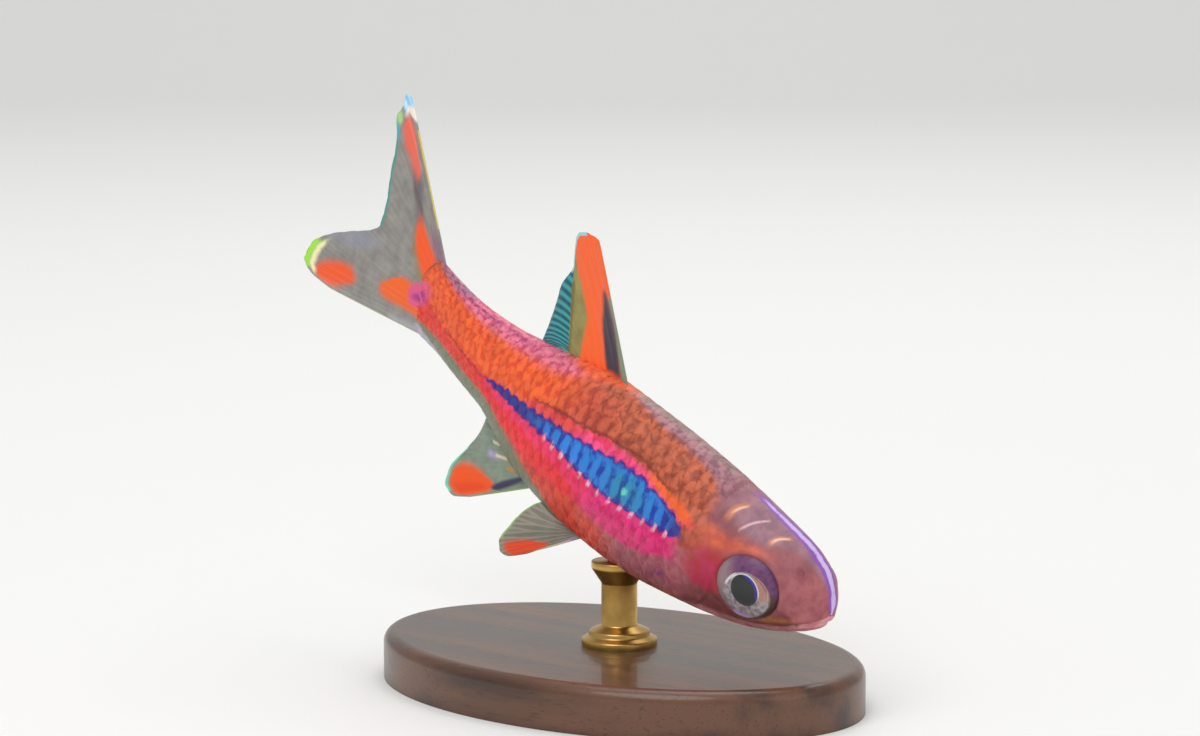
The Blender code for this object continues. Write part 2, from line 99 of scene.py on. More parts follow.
# %% A smooth curve through a few sizes
def smooth_curve(stations, values):
    """A curve through the values that never overshoots them, read for whole arrays at once."""
    x = np.array(stations, float)
    y = np.array(values, float)
    step = np.diff(x)
    rise = np.diff(y) / step
    slope = np.concatenate([[rise[0]], np.zeros(len(x) - 2), [rise[-1]]])
    for i in range(1, len(x) - 1):
        if rise[i - 1] * rise[i] > 0:
            before = 2 * step[i] + step[i - 1]
            after = step[i] + 2 * step[i - 1]
            slope[i] = (before + after) / (before / rise[i - 1] + after / rise[i])

    def value(s):
        i = np.clip(np.searchsorted(x, s) - 1, 0, len(x) - 2)
        t = np.clip((s - x[i]) / step[i], 0.0, 1.0)
        start = y[i] * (1 + 2 * t) + slope[i] * step[i] * t
        end = y[i + 1] * (3 - 2 * t) - slope[i + 1] * step[i] * (1 - t)
        return start * (1 - t) ** 2 + end * t * t

    return value


back_height = smooth_curve(STATIONS, BACK)
belly_depth = smooth_curve(STATIONS, BELLY)
half_width = smooth_curve(STATIONS, WIDTH)
bend_left = smooth_curve(BEND_STATIONS, BEND_LEFT)
bend_up = smooth_curve(BEND_STATIONS, BEND_UP)
print("deepest at the dorsal fin:", round(float(back_height(0.5) + belly_depth(0.5)) * 16, 2), "mm")


# %% The bent middle line
def unit(v):
    """Vectors of length one."""
    return v / np.linalg.norm(v, axis=-1, keepdims=True)


def backward(s):
    """Which way the middle line runs back at each station."""
    left, up = np.radians(bend_left(s)), np.radians(bend_up(s))
    return np.stack([-np.cos(left) * np.cos(up), np.sin(left) * np.cos(up), np.sin(up)], axis=-1)


line_stations = np.linspace(BEND_STATIONS[0], BEND_STATIONS[-1], 321)
line_steps = backward((line_stations[1:] + line_stations[:-1]) / 2) * np.diff(line_stations)[:, None]
line_points = np.concatenate([[[0.0, 0.0, 0.0]], np.cumsum(line_steps, axis=0)])
line_points -= [np.interp(ORIGIN_STATION, line_stations, line_points[:, k]) for k in range(3)]


def axes(s):
    """Middle point, backward, left and up at each station, in the fish's own level frame."""
    centre = np.stack([np.interp(s, line_stations, line_points[:, k]) for k in range(3)], axis=-1)
    back = backward(s)
    up = unit(np.array([0.0, 0.0, 1.0]) - back * back[..., 2:])
    left = np.cross(up, -back)
    return centre, back, left, up


print("last point of the middle line, in lengths:", line_points[-1].round(3))

# %% The surface round the middle line
def opening(s, tail_start, power=2):
    """How far the body has opened out at each station: round at the snout, closing at the tail."""
    nose = 1 - np.clip(1 - (s - SNOUT_START) / SNOUT_ROUND, 0, 1) ** 2
    tail = 1 - np.clip((s - tail_start) / (TAIL_END - tail_start), 0, 1) ** power
    return np.sqrt(np.maximum(nose, 0)) * np.maximum(tail, 0)


def section(s, turn):
    """Side and height of the surface. The turn is measured from the back; right is negative."""
    height = np.where(np.cos(turn) > 0, back_height(s), belly_depth(s))
    side = half_width(s) * opening(s, TAIL_THINS, 1.6)
    return side * np.sin(turn), height * np.cos(turn) * opening(s, TAIL_ROUNDS)


def level(s, turn, lift=0.0):
    """Points of the surface in the level frame, lifted along the section's normal by a length."""
    s, turn = np.asarray(s, float), np.asarray(turn, float)
    side, height = section(s, turn)
    tall = np.where(np.cos(turn) > 0, back_height(s), belly_depth(s))
    normal = unit(np.stack([np.sin(turn) * tall, np.cos(turn) * half_width(s)], axis=-1))
    centre, _, left, up = axes(s)
    side = side + normal[..., 0] * lift / STANDARD_LENGTH
    height = height + normal[..., 1] * lift / STANDARD_LENGTH
    return (centre + left * side[..., None] + up * height[..., None]) * STANDARD_LENGTH


def tipped(points):
    """The level frame tipped nose down, still round its own origin."""
    c, s = math.cos(NOSE_DOWN), math.sin(NOSE_DOWN)
    return points @ np.array([[c, 0, -s], [0, 1, 0], [s, 0, c]])


belly = tipped(level(ROD_STATION, math.pi))
chin = tipped(level(np.linspace(0, 0.5, 51), math.pi))[:, 2].min()
hang = np.array([-belly[0], 0.0, BASE_THICKNESS + CHIN_CLEARANCE - chin])


def placed(points):
    """Points of the level frame where the fish hangs in the row frame."""
    return tipped(points) + hang


def surface(s, turn, lift=0.0):
    """Points of the fish's surface in the row frame."""
    return placed(level(s, turn, lift))


stalk = surface(np.linspace(0.775, 0.97, 40)[:, None], np.linspace(-math.pi, math.pi, 73)[None])

# %% [markdown]
# The camera repeats the photo's view: the fish swims down to the right and a little towards us.
# A long lens from six fish lengths away keeps the perspective as flat as in the photo. The
# camera is aimed by one landmark: the middle of the trunk lies at a known place in the picture.

# %% Camera
PHOTO_SIZE = (1200, 736)
PIXELS_PER_LENGTH = 645.38
TRUNK_PIXEL = (621.1, 478.2)
VIEW_AZIMUTH = math.radians(39.83)
VIEW_ELEVATION = math.radians(7.77)
VIEW_DISTANCE = 6 * STANDARD_LENGTH
SENSOR = 36.0
CLIP = (0.001, 10.0)


def build_camera():
    """The photo's camera, aimed so that the trunk falls on its pixel."""
    flat = math.cos(VIEW_ELEVATION)
    out = Vector((math.sin(VIEW_AZIMUTH) * flat, -math.cos(VIEW_AZIMUTH) * flat,
                  math.sin(VIEW_ELEVATION)))
    right = Vector((math.cos(VIEW_AZIMUTH), math.sin(VIEW_AZIMUTH), 0))
    up = out.cross(right)
    pixel = STANDARD_LENGTH / PIXELS_PER_LENGTH
    target = Vector(hang) - right * (TRUNK_PIXEL[0] - PHOTO_SIZE[0] / 2) * pixel
    target += up * (TRUNK_PIXEL[1] - PHOTO_SIZE[1] / 2) * pixel
    data = bpy.data.cameras.new("camera")
    data.sensor_width = SENSOR
    data.lens = SENSOR * VIEW_DISTANCE / (PHOTO_SIZE[0] * pixel)
    data.clip_start, data.clip_end = CLIP
    camera = bpy.data.objects.new("camera", data)
    scene.collection.objects.link(camera)
    camera.location = target + out * VIEW_DISTANCE
    camera.rotation_euler = Matrix((right, up, out)).transposed().to_euler()
    scene.camera = camera
    return camera


camera = build_camera()
print("lens", round(camera.data.lens, 1), "mm,", round(camera.location.z * 1000, 1), "mm over the floor")

# %% [markdown]
# A pale sweep, floor and wall in one sheet with a wide curve between them, leaves no horizon.
# Four soft area lights stand round it, all close to white: a large key over the fish's right
# flank, a weaker fill from the front, one behind that draws the edge of the back, and one that
# evens out the wall.

# %% Materials by a short helper
def new_material(name, **settings):
    """A fresh material and its Principled shader, with sockets set by name, _ standing for a space."""
    material = bpy.data.materials.new(name)
    material.use_nodes = True
    shader = material.node_tree.nodes["Principled BSDF"]
    for socket, value in settings.items():
        shader.inputs[socket.replace("_", " ")].default_value = value
    return material, shader


def linear(red, green, blue):
    """A colour named in 0 to 255 steps, as the shader wants it."""
    channels = (red / 255, green / 255, blue / 255)
    return tuple(c / 12.92 if c < 0.04045 else ((c + 0.055) / 1.055) ** 2.4 for c in channels)


print("middle grey for the shader:", round(linear(128, 128, 128)[0], 3))

# %% Pale sweep
SWEEP_HALF = 0.40
SWEEP_BACK = 0.22
SWEEP_CURVE = 0.10
SWEEP_STEPS = 24
PAPER = (240, 240, 238)


def build_sweep():
    """Floor and wall in one sheet, curved where they meet, turned to face the camera."""
    bm = bmesh.new()
    front = bm.verts.new((-SWEEP_HALF, -SWEEP_HALF, 0))
    back = bm.verts.new((-SWEEP_HALF, SWEEP_BACK, 0))
    bm.edges.new((front, back))
    bmesh.ops.spin(
        bm, geom=[back], cent=(0, SWEEP_BACK, SWEEP_CURVE), axis=(1, 0, 0),
        angle=math.pi / 2, steps=SWEEP_STEPS, use_merge=False,
    )
    top = max(bm.verts, key=lambda v: (v.co.z, v.co.y))
    raised = bmesh.ops.extrude_vert_indiv(bm, verts=[top])["verts"]
    bmesh.ops.translate(bm, vec=(0, 0, SWEEP_HALF), verts=raised)
    grown = bmesh.ops.extrude_edge_only(bm, edges=bm.edges[:])["geom"]
    moved = [g for g in grown if isinstance(g, bmesh.types.BMVert)]
    bmesh.ops.translate(bm, vec=(2 * SWEEP_HALF, 0, 0), verts=moved)
    bmesh.ops.rotate(bm, cent=(0, 0, 0), matrix=Matrix.Rotation(VIEW_AZIMUTH, 3, "Z"), verts=bm.verts)
    mesh = mesh_of(bm, "sweep")
    mesh.shade_smooth()
    sweep = bpy.data.objects.new("sweep", mesh)
    scene.collection.objects.link(sweep)
    material, _ = new_material("pale paper", Roughness=0.85, Base_Color=(*linear(*PAPER), 1))
    mesh.materials.append(material)
    return sweep


sweep = build_sweep()
print("sweep:", len(sweep.data.polygons), "faces")


# %% Soft lights
# Each row gives the name, the azimuth from the camera and the elevation in degrees, the distance and
# the size in metres, the power in watts, and how far behind the fish the light aims.
LIGHTS = (
    ("key light", -28, 48, 0.16, 0.12, 0.105, 0.0),
    ("fill light", 50, 25, 0.20, 0.16, 0.045, 0.0),
    ("rim light", 160, 55, 0.18, 0.10, 0.055, 0.0),
    ("wall light", 180, 75, 0.26, 0.20, 0.20, 0.28),
)
WORLD_STRENGTH = 0.49


def area_light(name, azimuth, elevation, distance, size, power, aim_behind):
    """A round area light that looks at the fish, or at a place that far behind it."""
    turn = VIEW_AZIMUTH + math.radians(azimuth)
    tilt = math.radians(elevation)
    out = Vector((math.sin(turn) * math.cos(tilt), -math.cos(turn) * math.cos(tilt), math.sin(tilt)))
    data = bpy.data.lights.new(name, "AREA")
    data.shape = "DISK"
    data.size = size
    data.energy = power
    light = bpy.data.objects.new(name, data)
    scene.collection.objects.link(light)
    light.location = Vector(hang) + out * distance
    behind = Vector((-math.sin(VIEW_AZIMUTH), math.cos(VIEW_AZIMUTH), 0))
    look = Vector(hang) + behind * aim_behind - light.location
    light.rotation_euler = look.to_track_quat("-Z", "Y").to_euler()
    return light


for row in LIGHTS:
    area_light(*row)
world = bpy.data.worlds.new("studio")
scene.world = world
world.use_nodes = True
background = world.node_tree.nodes["Background"]
background.inputs["Color"].default_value = (1, 1, 1, 1)
background.inputs["Strength"].default_value = WORLD_STRENGTH
scene.view_settings.view_transform = "Standard"

# %% [markdown]
# All colours come from shader nodes, so no picture is needed. A little helper class adds nodes and
# joins them, so that a pattern reads almost like a formula. Its most used trick is the zone: a
# field of colour between two edges, each edge a curve through a few points.

# %% A helper that writes patterns as nodes
class Pattern:
    """Adds nodes to one tree. A value may be a number, a colour or the socket of another node."""

    def __init__(self, tree):
        self.tree = tree

    def put(self, value, socket):
        if isinstance(value, bpy.types.NodeSocket):
            self.tree.links.new(value, socket)
        else:
            socket.default_value = value

    def node(self, kind, *values, **settings):
        made = self.tree.nodes.new("ShaderNode" + kind)
        for name, value in settings.items():
            setattr(made, name, value)
        for value, socket in zip(values, made.inputs):
            self.put(value, socket)
        return made

    def maths(self, operation, *values):
        return self.node("Math", *values, operation=operation).outputs[0]

    def times(self, first, *others):
        """The product of two or more values."""
        for other in others:
            first = self.maths("MULTIPLY", first, other)
        return first

    def plus(self, first, second):
        return self.maths("ADD", first, second)

    def minus(self, first, second):
        return self.maths("SUBTRACT", first, second)

    def sloped(self, value, slope, start):
        """A value times a slope, plus a start."""
        return self.maths("MULTIPLY_ADD", value, slope, start)

    def place(self):
        """Coordinates that stay with the object."""
        return self.node("TexCoord").outputs["Object"]

    def uv(self, name):
        """Both coordinates of one of the piece's own UV maps."""
        return self.node("SeparateXYZ", self.node("UVMap", uv_map=name).outputs[0]).outputs[:2]

    def length(self, vector):
        return self.node("VectorMath", vector, operation="LENGTH").outputs["Value"]

    def bump(self, shader, height, strength, distance):
        """Relief on the shader's normal."""
        made = self.node("Bump", strength, distance)
        self.put(height, made.inputs["Height"])
        self.put(made.outputs[0], shader.inputs["Normal"])

    def smooth(self, value, start, end):
        return self.node("MapRange", value, start, end, interpolation_type="SMOOTHSTEP").outputs[0]

    def scaled(self, value, low, high):
        return self.node("MapRange", value, 0.0, 1.0, low, high).outputs[0]

    def mix(self, factor, under, over, blend_type="MIX"):
        made = self.node("Mix", factor, data_type="RGBA", blend_type=blend_type)
        for value, socket in ((under, made.inputs[6]), (over, made.inputs[7])):
            is_colour = isinstance(value, tuple)
            self.put((*linear(*value), 1) if is_colour else value, socket)
        return made.outputs[2]

    def noise(self, vector, scale, detail=2.0, distortion=0.0):
        made = self.node("TexNoise", vector, 0.0, scale, detail)
        made.inputs["Distortion"].default_value = distortion
        return made.outputs[0]

    def curve(self, value, points):
        """A smooth curve through points that lie between 0 and 1 both ways."""
        made = self.node("FloatCurve", 1.0, value)
        line = made.mapping.curves[0]
        ends = line.points[0], line.points[1]
        ends[0].location = points[0]
        ends[1].location = points[-1]
        for point in points[1:-1]:
            line.points.new(*point)
        for point in line.points:
            point.handle_type = "AUTO_CLAMPED"
        made.mapping.extend = "HORIZONTAL"
        made.mapping.update()
        return made.outputs[0]

    def zone(self, along, across, low, high, soft, end_soft=None):
        """A mask between two edges, each a few (along, across) points, over the first one's length."""
        end_soft = end_soft or soft
        mask = self.smooth(self.minus(self.curve(along, high), across), -soft, soft)
        if any(edge > 0 for _, edge in low):
            above = self.minus(across, self.curve(along, low))
            mask = self.times(mask, self.smooth(above, -soft, soft))
        start, end = low[0][0], low[-1][0]
        if start > 0:
            mask = self.times(mask, self.smooth(along, start - end_soft, start + end_soft))
        if end < 1:
            mask = self.times(mask, self.smooth(along, end + end_soft, end - end_soft))
        return mask

    def paint(self, colour, along, across, zones, weave=0.5):
        """Lays zones over one another: (colour, strength, soft edge, low edge, high edge).

        A pair of colours is woven together by a mask.
        """
        for over, strength, soft, low, high in zones:
            if isinstance(over[0], tuple):
                over = self.mix(weave, *over)
            mask = self.zone(along, across, low, high, soft)
            if strength < 1:
                mask = self.times(mask, strength)
            colour = self.mix(mask, colour, over)
        return colour


def new_group(name, inputs, outputs):
    """A node group with float inputs, given by name and start value, and typed outputs."""
    group = bpy.data.node_groups.new(name, "ShaderNodeTree")
    for label, value in inputs:
        socket = group.interface.new_socket(name=label, in_out="INPUT", socket_type="NodeSocketFloat")
        socket.default_value = value
    for label, kind in outputs:
        group.interface.new_socket(name=label, in_out="OUTPUT", socket_type="NodeSocket" + kind)
    entry = group.nodes.new("NodeGroupInput")
    leave = group.nodes.new("NodeGroupOutput")
    return group, Pattern(group), entry.outputs, leave.inputs


def use_group(pattern, group, **values):
    """Places a group in a material and feeds its inputs by name."""
    made = pattern.tree.nodes.new("ShaderNodeGroup")
    made.node_tree = group
    for name, value in values.items():
        pattern.put(value, made.inputs[name])
    return made.outputs


print("pattern tools:", [n for n in vars(Pattern) if not n.startswith("_")])

# %% [markdown]
# The markings lie on the fish by station, from the snout at 0 to the root of the tail at 1, and by
# turn, from the middle of the back at 0 degrees round the flank to the belly at 180. Both sides
# use the same coordinates, so the far flank mirrors the near one. Each zone below is one patch
# or line that a keeper of these fish would name, with the few points that its edges need.

# %% Zones of colour on the body
def band(points, half):
    """Two edges that run beside a centre line."""
    return tuple((s, t - half) for s, t in points), tuple((s, t + half) for s, t in points)


MAUVE = ((136, 88, 104), (180, 126, 134))
BROWN = ((154, 72, 52), (202, 102, 70))
ORANGE = ((224, 76, 40), (250, 106, 54))
STRIPE_TOP = ((0.258, 80), (0.276, 74), (0.331, 67.5), (0.388, 64.5), (0.456, 67.5), (0.525, 71),
              (0.62, 75.5), (0.683, 78), (0.748, 84))
STRIPE_LOW = ((0.258, 86), (0.29, 89), (0.35, 91), (0.416, 92), (0.486, 89), (0.57, 86), (0.64, 87),
              (0.71, 87), (0.748, 88))
DARK_LINE = ((0.32, 60), (0.37, 54.5), (0.436, 55.5), (0.468, 57.5), (0.515, 61.5), (0.60, 66), (0.63, 68))
TAIL_LINE = ((0.74, 85), (0.778, 89), (0.863, 89), (0.905, 93))
FLECK_LINE = ((0.28, 89.5), (0.35, 92), (0.42, 93), (0.50, 89), (0.57, 86))
BODY_ZONES = (
    ((150, 152, 128), 0.7, 3, ((0.19, 0), (0.56, 0)), ((0.19, 3), (0.56, 5))),
    # The brown and orange scales of the upper flank, between the mauve back and the red line.
    (BROWN, 1, 5,
     ((0.205, 46), (0.24, 35), (0.276, 25), (0.333, 20), (0.39, 18), (0.46, 9), (0.50, 0), (1, 0)),
     ((0.205, 72), (0.25, 90), (0.33, 76), (0.40, 70), (0.60, 80), (1, 120))),
    (((172, 62, 50), (214, 88, 70)), 0.7, 10, ((0.47, 26), (0.56, 38)), ((0.47, 60), (0.56, 66))),
    (ORANGE, 1, 12, ((0.56, 0), (0.66, 30), (1, 34)), ((0.56, 90), (0.70, 92), (0.80, 104), (1, 118))),
    # Pink scales along the top of the tail stalk, then mauve where the tail begins.
    (((200, 76, 116), (238, 130, 152)), 0.95, 9, ((0.55, 0), (0.65, 0), (0.95, 0)),
     ((0.55, 24), (0.62, 37), (0.74, 38), (0.83, 38), (0.95, 36))),
    (((140, 62, 116), (196, 84, 130)), 0.75, 4,
     ((0.68, 20), (0.77, 13), (0.83, 15), (0.89, 17), (0.95, 24)),
     ((0.68, 27), (0.77, 20), (0.83, 23), (0.89, 26), (0.95, 34))),
    (((130, 82, 112), (184, 124, 150)), 0.9, 6, ((0.88, 0), (1, 0)),
     ((0.88, 14), (0.94, 30), (0.975, 30), (1, 16))),
    # An orange foot under the dorsal fin.
    (((228, 88, 54), (250, 112, 64)), 0.95, 5, ((0.475, 0), (0.61, 0)),
     ((0.475, 7), (0.515, 17), (0.55, 25), (0.61, 16))),
    # The red flank under the stripe, from magenta in front to salmon at the tail.
    (((214, 36, 108), (242, 54, 132)), 1, 3, ((0.262, 86), (0.40, 88), (0.52, 80)),
     ((0.262, 104), (0.36, 118), (0.45, 117), (0.52, 112))),
    (((226, 34, 44), (246, 56, 62)), 1, 5, ((0.47, 86), (0.57, 84), (0.72, 85), (0.82, 92)),
     ((0.47, 117), (0.55, 122), (0.68, 113), (0.74, 109), (0.82, 110))),
    (((220, 50, 38), (238, 70, 56)), 1, 6, ((0.77, 88), (0.86, 93), (1, 92)),
     ((0.77, 112), (0.86, 113), (1, 134))),
    (((224, 42, 84), (248, 62, 122)), 0.8, 4, ((0.45, 80), (0.57, 82), (0.76, 86)),
     ((0.45, 108), (0.50, 101), (0.56, 97), (0.68, 95), (0.76, 92))),
    (((170, 84, 72), (206, 112, 92)), 0.6, 7, ((0.24, 148), (0.42, 152)), ((0.24, 180), (0.42, 180))),
    ((142, 62, 124), 0.7, 3, ((0.272, 120), (0.302, 124)), ((0.272, 126), (0.302, 131))),
    # The orange belly and the grey green keel behind it.
    (((206, 48, 40), (234, 78, 48)), 1, 6, ((0.40, 119), (0.50, 113), (0.60, 119), (0.72, 112)),
     ((0.40, 150), (0.50, 160), (0.555, 136), (0.60, 127), (0.66, 116), (0.72, 112))),
    ((196, 186, 204), 0.8, 6, ((0.89, 150), (1, 140)), ((0.89, 180), (1, 180))),
    # Ribbons of red, pink and orange over the stripe, under a dark line.
    (((206, 58, 60), (234, 84, 80)), 1, 2, ((0.44, 56), (0.515, 62), (0.60, 67), (0.64, 71)),
     ((0.44, 71), (0.525, 75), (0.60, 78), (0.64, 79))),
    (((234, 58, 104), (255, 90, 142)), 1, 2.5,
     ((0.25, 69), (0.301, 65), (0.363, 59), (0.39, 57.5), (0.46, 59.5), (0.515, 66)),
     ((0.25, 76), (0.301, 73), (0.388, 69), (0.456, 72), (0.515, 75))),
    ((245, 106, 52), 1, 2.5, ((0.252, 66), (0.30, 62), (0.36, 58)), ((0.252, 76), (0.30, 70), (0.36, 63))),
    ((128, 46, 48), 0.85, 1.5, *band(DARK_LINE, 1.1)),
    ((190, 36, 58), 0.9, 1.6, *band(TAIL_LINE, 1.5)),
    # The magenta spot at the root of the tail.
    ((224, 92, 136), 0.95, 3, ((0.992, 76), (1, 74)), ((0.992, 106), (1, 110))),
    ((164, 50, 138), 0.9, 3, ((0.997, 93), (1, 92)), ((0.997, 102), (1, 102))),
)
# Dark chin, mauve brain case, orange behind the eye, red gill, ochre lip, then the painted rim highlight
# along the crest, violet with a pale lavender line on it.
HEAD_ZONES = (
    (((112, 58, 58), (146, 82, 76)), 0.8, 14, ((0.03, 92), (0.20, 104)), ((0.03, 180), (0.20, 180))),
    (((144, 106, 120), (168, 122, 134)), 1, 7, ((0, 0), (0.22, 0)),
     ((0, 24), (0.09, 30), (0.15, 50), (0.22, 42))),
    (((206, 92, 70), (230, 110, 72)), 0.85, 7, ((0.115, 50), (0.15, 56), (0.20, 62), (0.25, 62)),
     ((0.115, 57), (0.15, 65), (0.20, 80), (0.25, 90))),
    (((170, 72, 62), (200, 86, 68)), 0.9, 6, ((0.17, 76), (0.21, 78), (0.27, 84)),
     ((0.17, 84), (0.21, 104), (0.27, 112))),
    (((180, 56, 58), (190, 54, 92)), 1, 6, ((0.160, 84), (0.20, 80), (0.245, 88)),
     ((0.160, 108), (0.19, 116), (0.245, 106))),
    (((186, 112, 72), (206, 152, 70)), 0.6, 6, ((0.03, 114), (0.06, 119), (0.12, 122)),
     ((0.03, 120), (0.06, 130), (0.12, 134))),
    (((150, 78, 88), (180, 106, 110)), 0.9, 9, ((0, 0), (0.05, 40), (0.08, 60)),
     ((0, 180), (0.05, 120), (0.08, 100))),
    # Painted highlight: a violet rim of light along the crest of the head and round the snout, and a pale
    # lavender line on it.
    ((142, 84, 184), 0.85, 3, ((0, 0), (0.20, 0)),
     ((0, 100), (0.012, 62), (0.022, 22), (0.05, 17), (0.10, 12), (0.20, 6))),
    ((214, 192, 244), 0.9, 2, ((0, 0), (0.185, 0)),
     ((0, 60), (0.012, 30), (0.020, 10), (0.05, 7), (0.10, 5), (0.185, 2.5))),
    (((186, 98, 70), (206, 122, 96)), 0.6, 9, ((0.10, 150), (0.25, 146)), ((0.10, 180), (0.25, 180))),
    (((214, 134, 146), (240, 176, 178)), 0.85, 5,
     ((0, 120), (0.02, 122), (0.05, 138), (0.10, 143), (0.27, 144)), ((0, 180), (0.27, 180))),
)
# Painted highlights on the brain case, drawn as pale arcs: points of turn and station, half width and
# colour.
SKULL_HIGHLIGHTS = (
    (((26, 0.194), (36, 0.203), (50, 0.206)), 0.006, (206, 126, 92)),
    (((26, 0.192), (34, 0.199), (42, 0.204)), 0.002, (246, 206, 180)),
    (((22, 0.151), (36, 0.166), (50, 0.178)), 0.002, (240, 196, 200)),
    (((20, 0.106), (33, 0.121), (44, 0.126)), 0.005, (212, 134, 108)),
    (((22, 0.108), (33, 0.120), (40, 0.124)), 0.002, (250, 216, 196)),
)
TURN_RANGE = 180


def in_shares(edge):
    """An edge with its turns as shares of half a turn."""
    return tuple((s, t / TURN_RANGE) for s, t in edge)


def as_shares(zones):
    """Zones with their turns and soft edges in shares of half a turn."""
    return [(colour, strength, soft / TURN_RANGE, in_shares(low), in_shares(high))
            for colour, strength, soft, low, high in zones]


print("the stripe runs from station", STRIPE_TOP[0][0], "to", STRIPE_TOP[-1][0])

# %% Grounds of the flank and of the snout
GROUND = (168, 88, 104)
KEEL = (116, 130, 104)
PALE_FOLDS = (206, 140, 140)
SNOUT = ((140, 80, 90), (168, 100, 104))
HIGHLIGHT_STRENGTH = 0.85
HIGHLIGHT_SOFT = (0.0025, 0.03)


def wandering(p, given):
    """Noises of three sizes, and the station and turn that they push about."""
    broad = p.noise(p.place(), 1500.0, 3.0)
    medium = p.noise(p.place(), 2600.0, 3.0)
    fine = p.noise(p.place(), 6000.0, 4.0)
    station = p.plus(given["Station"], p.scaled(broad, -0.006, 0.006))
    turn = p.plus(given["Turn"], p.scaled(fine, -0.022, 0.022))
    return broad, medium, fine, station, turn


def folded(p, given):
    """Fine folds that run the way of the scales, with each scale's painted shading added, for weaving pairs
    of colours.
    """
    grid = p.node("CombineXYZ", p.times(given["Station"], 75.0), p.times(given["Turn"], 22.0))
    return p.sloped(given["Fold"], 0.16, p.noise(grid.outputs[0], 1.0, 2.5, 0.4))


def flank_colour(p, station, turn, weave):
    """Pink ground, grey green keel and mauve back, with the zones of the body over them."""
    behind = p.smooth(station, 0.42, 0.56)
    colour = p.mix(behind, GROUND, KEEL)
    colour = p.mix(p.times(weave, p.scaled(behind, 0.4, 0.08)), colour, PALE_FOLDS)
    colour = p.mix(p.smooth(turn, 0.55, 0.45), colour, p.mix(weave, *MAUVE))
    return p.paint(colour, station, turn, as_shares(BODY_ZONES), weave)


def head_colour(p, station, turn, medium, fine):
    """Mottled snout and cheeks, with the zones of the head over them."""
    mottle = p.smooth(p.sloped(medium, 0.7, p.times(fine, 0.3)), 0.36, 0.64)
    colour = p.mix(p.scaled(medium, -0.6, 1.6), *SNOUT)
    return p.paint(colour, station, turn, as_shares(HEAD_ZONES), mottle)


def with_skull_highlights(p, given, colour):
    """The painted highlights on the brain case, as pale arcs."""
    for points, width, highlight_colour in SKULL_HIGHLIGHTS:
        points = tuple((t / TURN_RANGE, s) for t, s in points)
        highlight_arc = p.zone(given["Turn"], given["Station"], *band(points, width), *HIGHLIGHT_SOFT)
        colour = p.mix(p.times(highlight_arc, HIGHLIGHT_STRENGTH), colour, highlight_colour)
    return colour


print("ground of the flank:", GROUND)

# %% The blue stripe
DEEP_BLUE = ((42, 72, 182), (58, 140, 230))
TEAL = ((40, 90, 170), (60, 150, 190))
GLINT = (120, 226, 206)
STRIPE_ENDS = (56, 42, 126)
STRIPE_RIM = (70, 44, 150)
STRIPE_SOFT = 0.008
STRIPE_MIDDLE = 0.45
GLINT_STATION = 0.386


def stripe_colour(p, given, station, turn, folds):
    """The stripe's mask, ragged like the scales under it, and its blues."""
    top, low = in_shares(STRIPE_TOP), in_shares(STRIPE_LOW)
    teeth = p.times(p.minus(given["Band"], 0.5), 0.010)
    mask = p.zone(station, p.plus(turn, teeth), top, low, STRIPE_SOFT)
    inside = p.maths("MINIMUM", p.minus(turn, p.curve(station, top)), p.minus(p.curve(station, low), turn))
    lens = p.smooth(p.sloped(p.minus(folds, 0.58), 3.0, given["Band"]), -0.25, 0.75)
    away = p.node("CombineXYZ", p.sloped(station, 14.0, -14.0 * GLINT_STATION),
                  p.sloped(turn, 8.0, -8.0 * STRIPE_MIDDLE))
    away = p.length(away.outputs[0])
    # Painted highlight: a pale glint near the middle of the stripe, in a patch of teal.
    blue = p.mix(p.smooth(away, 0.9, 0.1), p.mix(lens, *DEEP_BLUE), p.mix(lens, *TEAL))
    blue = p.mix(p.smooth(away, 0.14, 0.02), blue, GLINT)
    ends = p.maths("MAXIMUM", p.smooth(station, 0.325, 0.265), p.smooth(station, 0.54, 0.66))
    blue = p.mix(p.times(ends, 0.85), blue, STRIPE_ENDS)
    return mask, p.mix(p.smooth(inside, 0.002, 0.024), STRIPE_RIM, blue)


print("blues of the stripe:", DEEP_BLUE)

# %% The markings as one node group
FLECK = (252, 206, 230)
FLECK_HALF_WIDTH = 2.6
SCALE_RIM = (128, 56, 52)
SPECK = (70, 40, 44)
SHADE_RANGE = (0.80, 1.20)


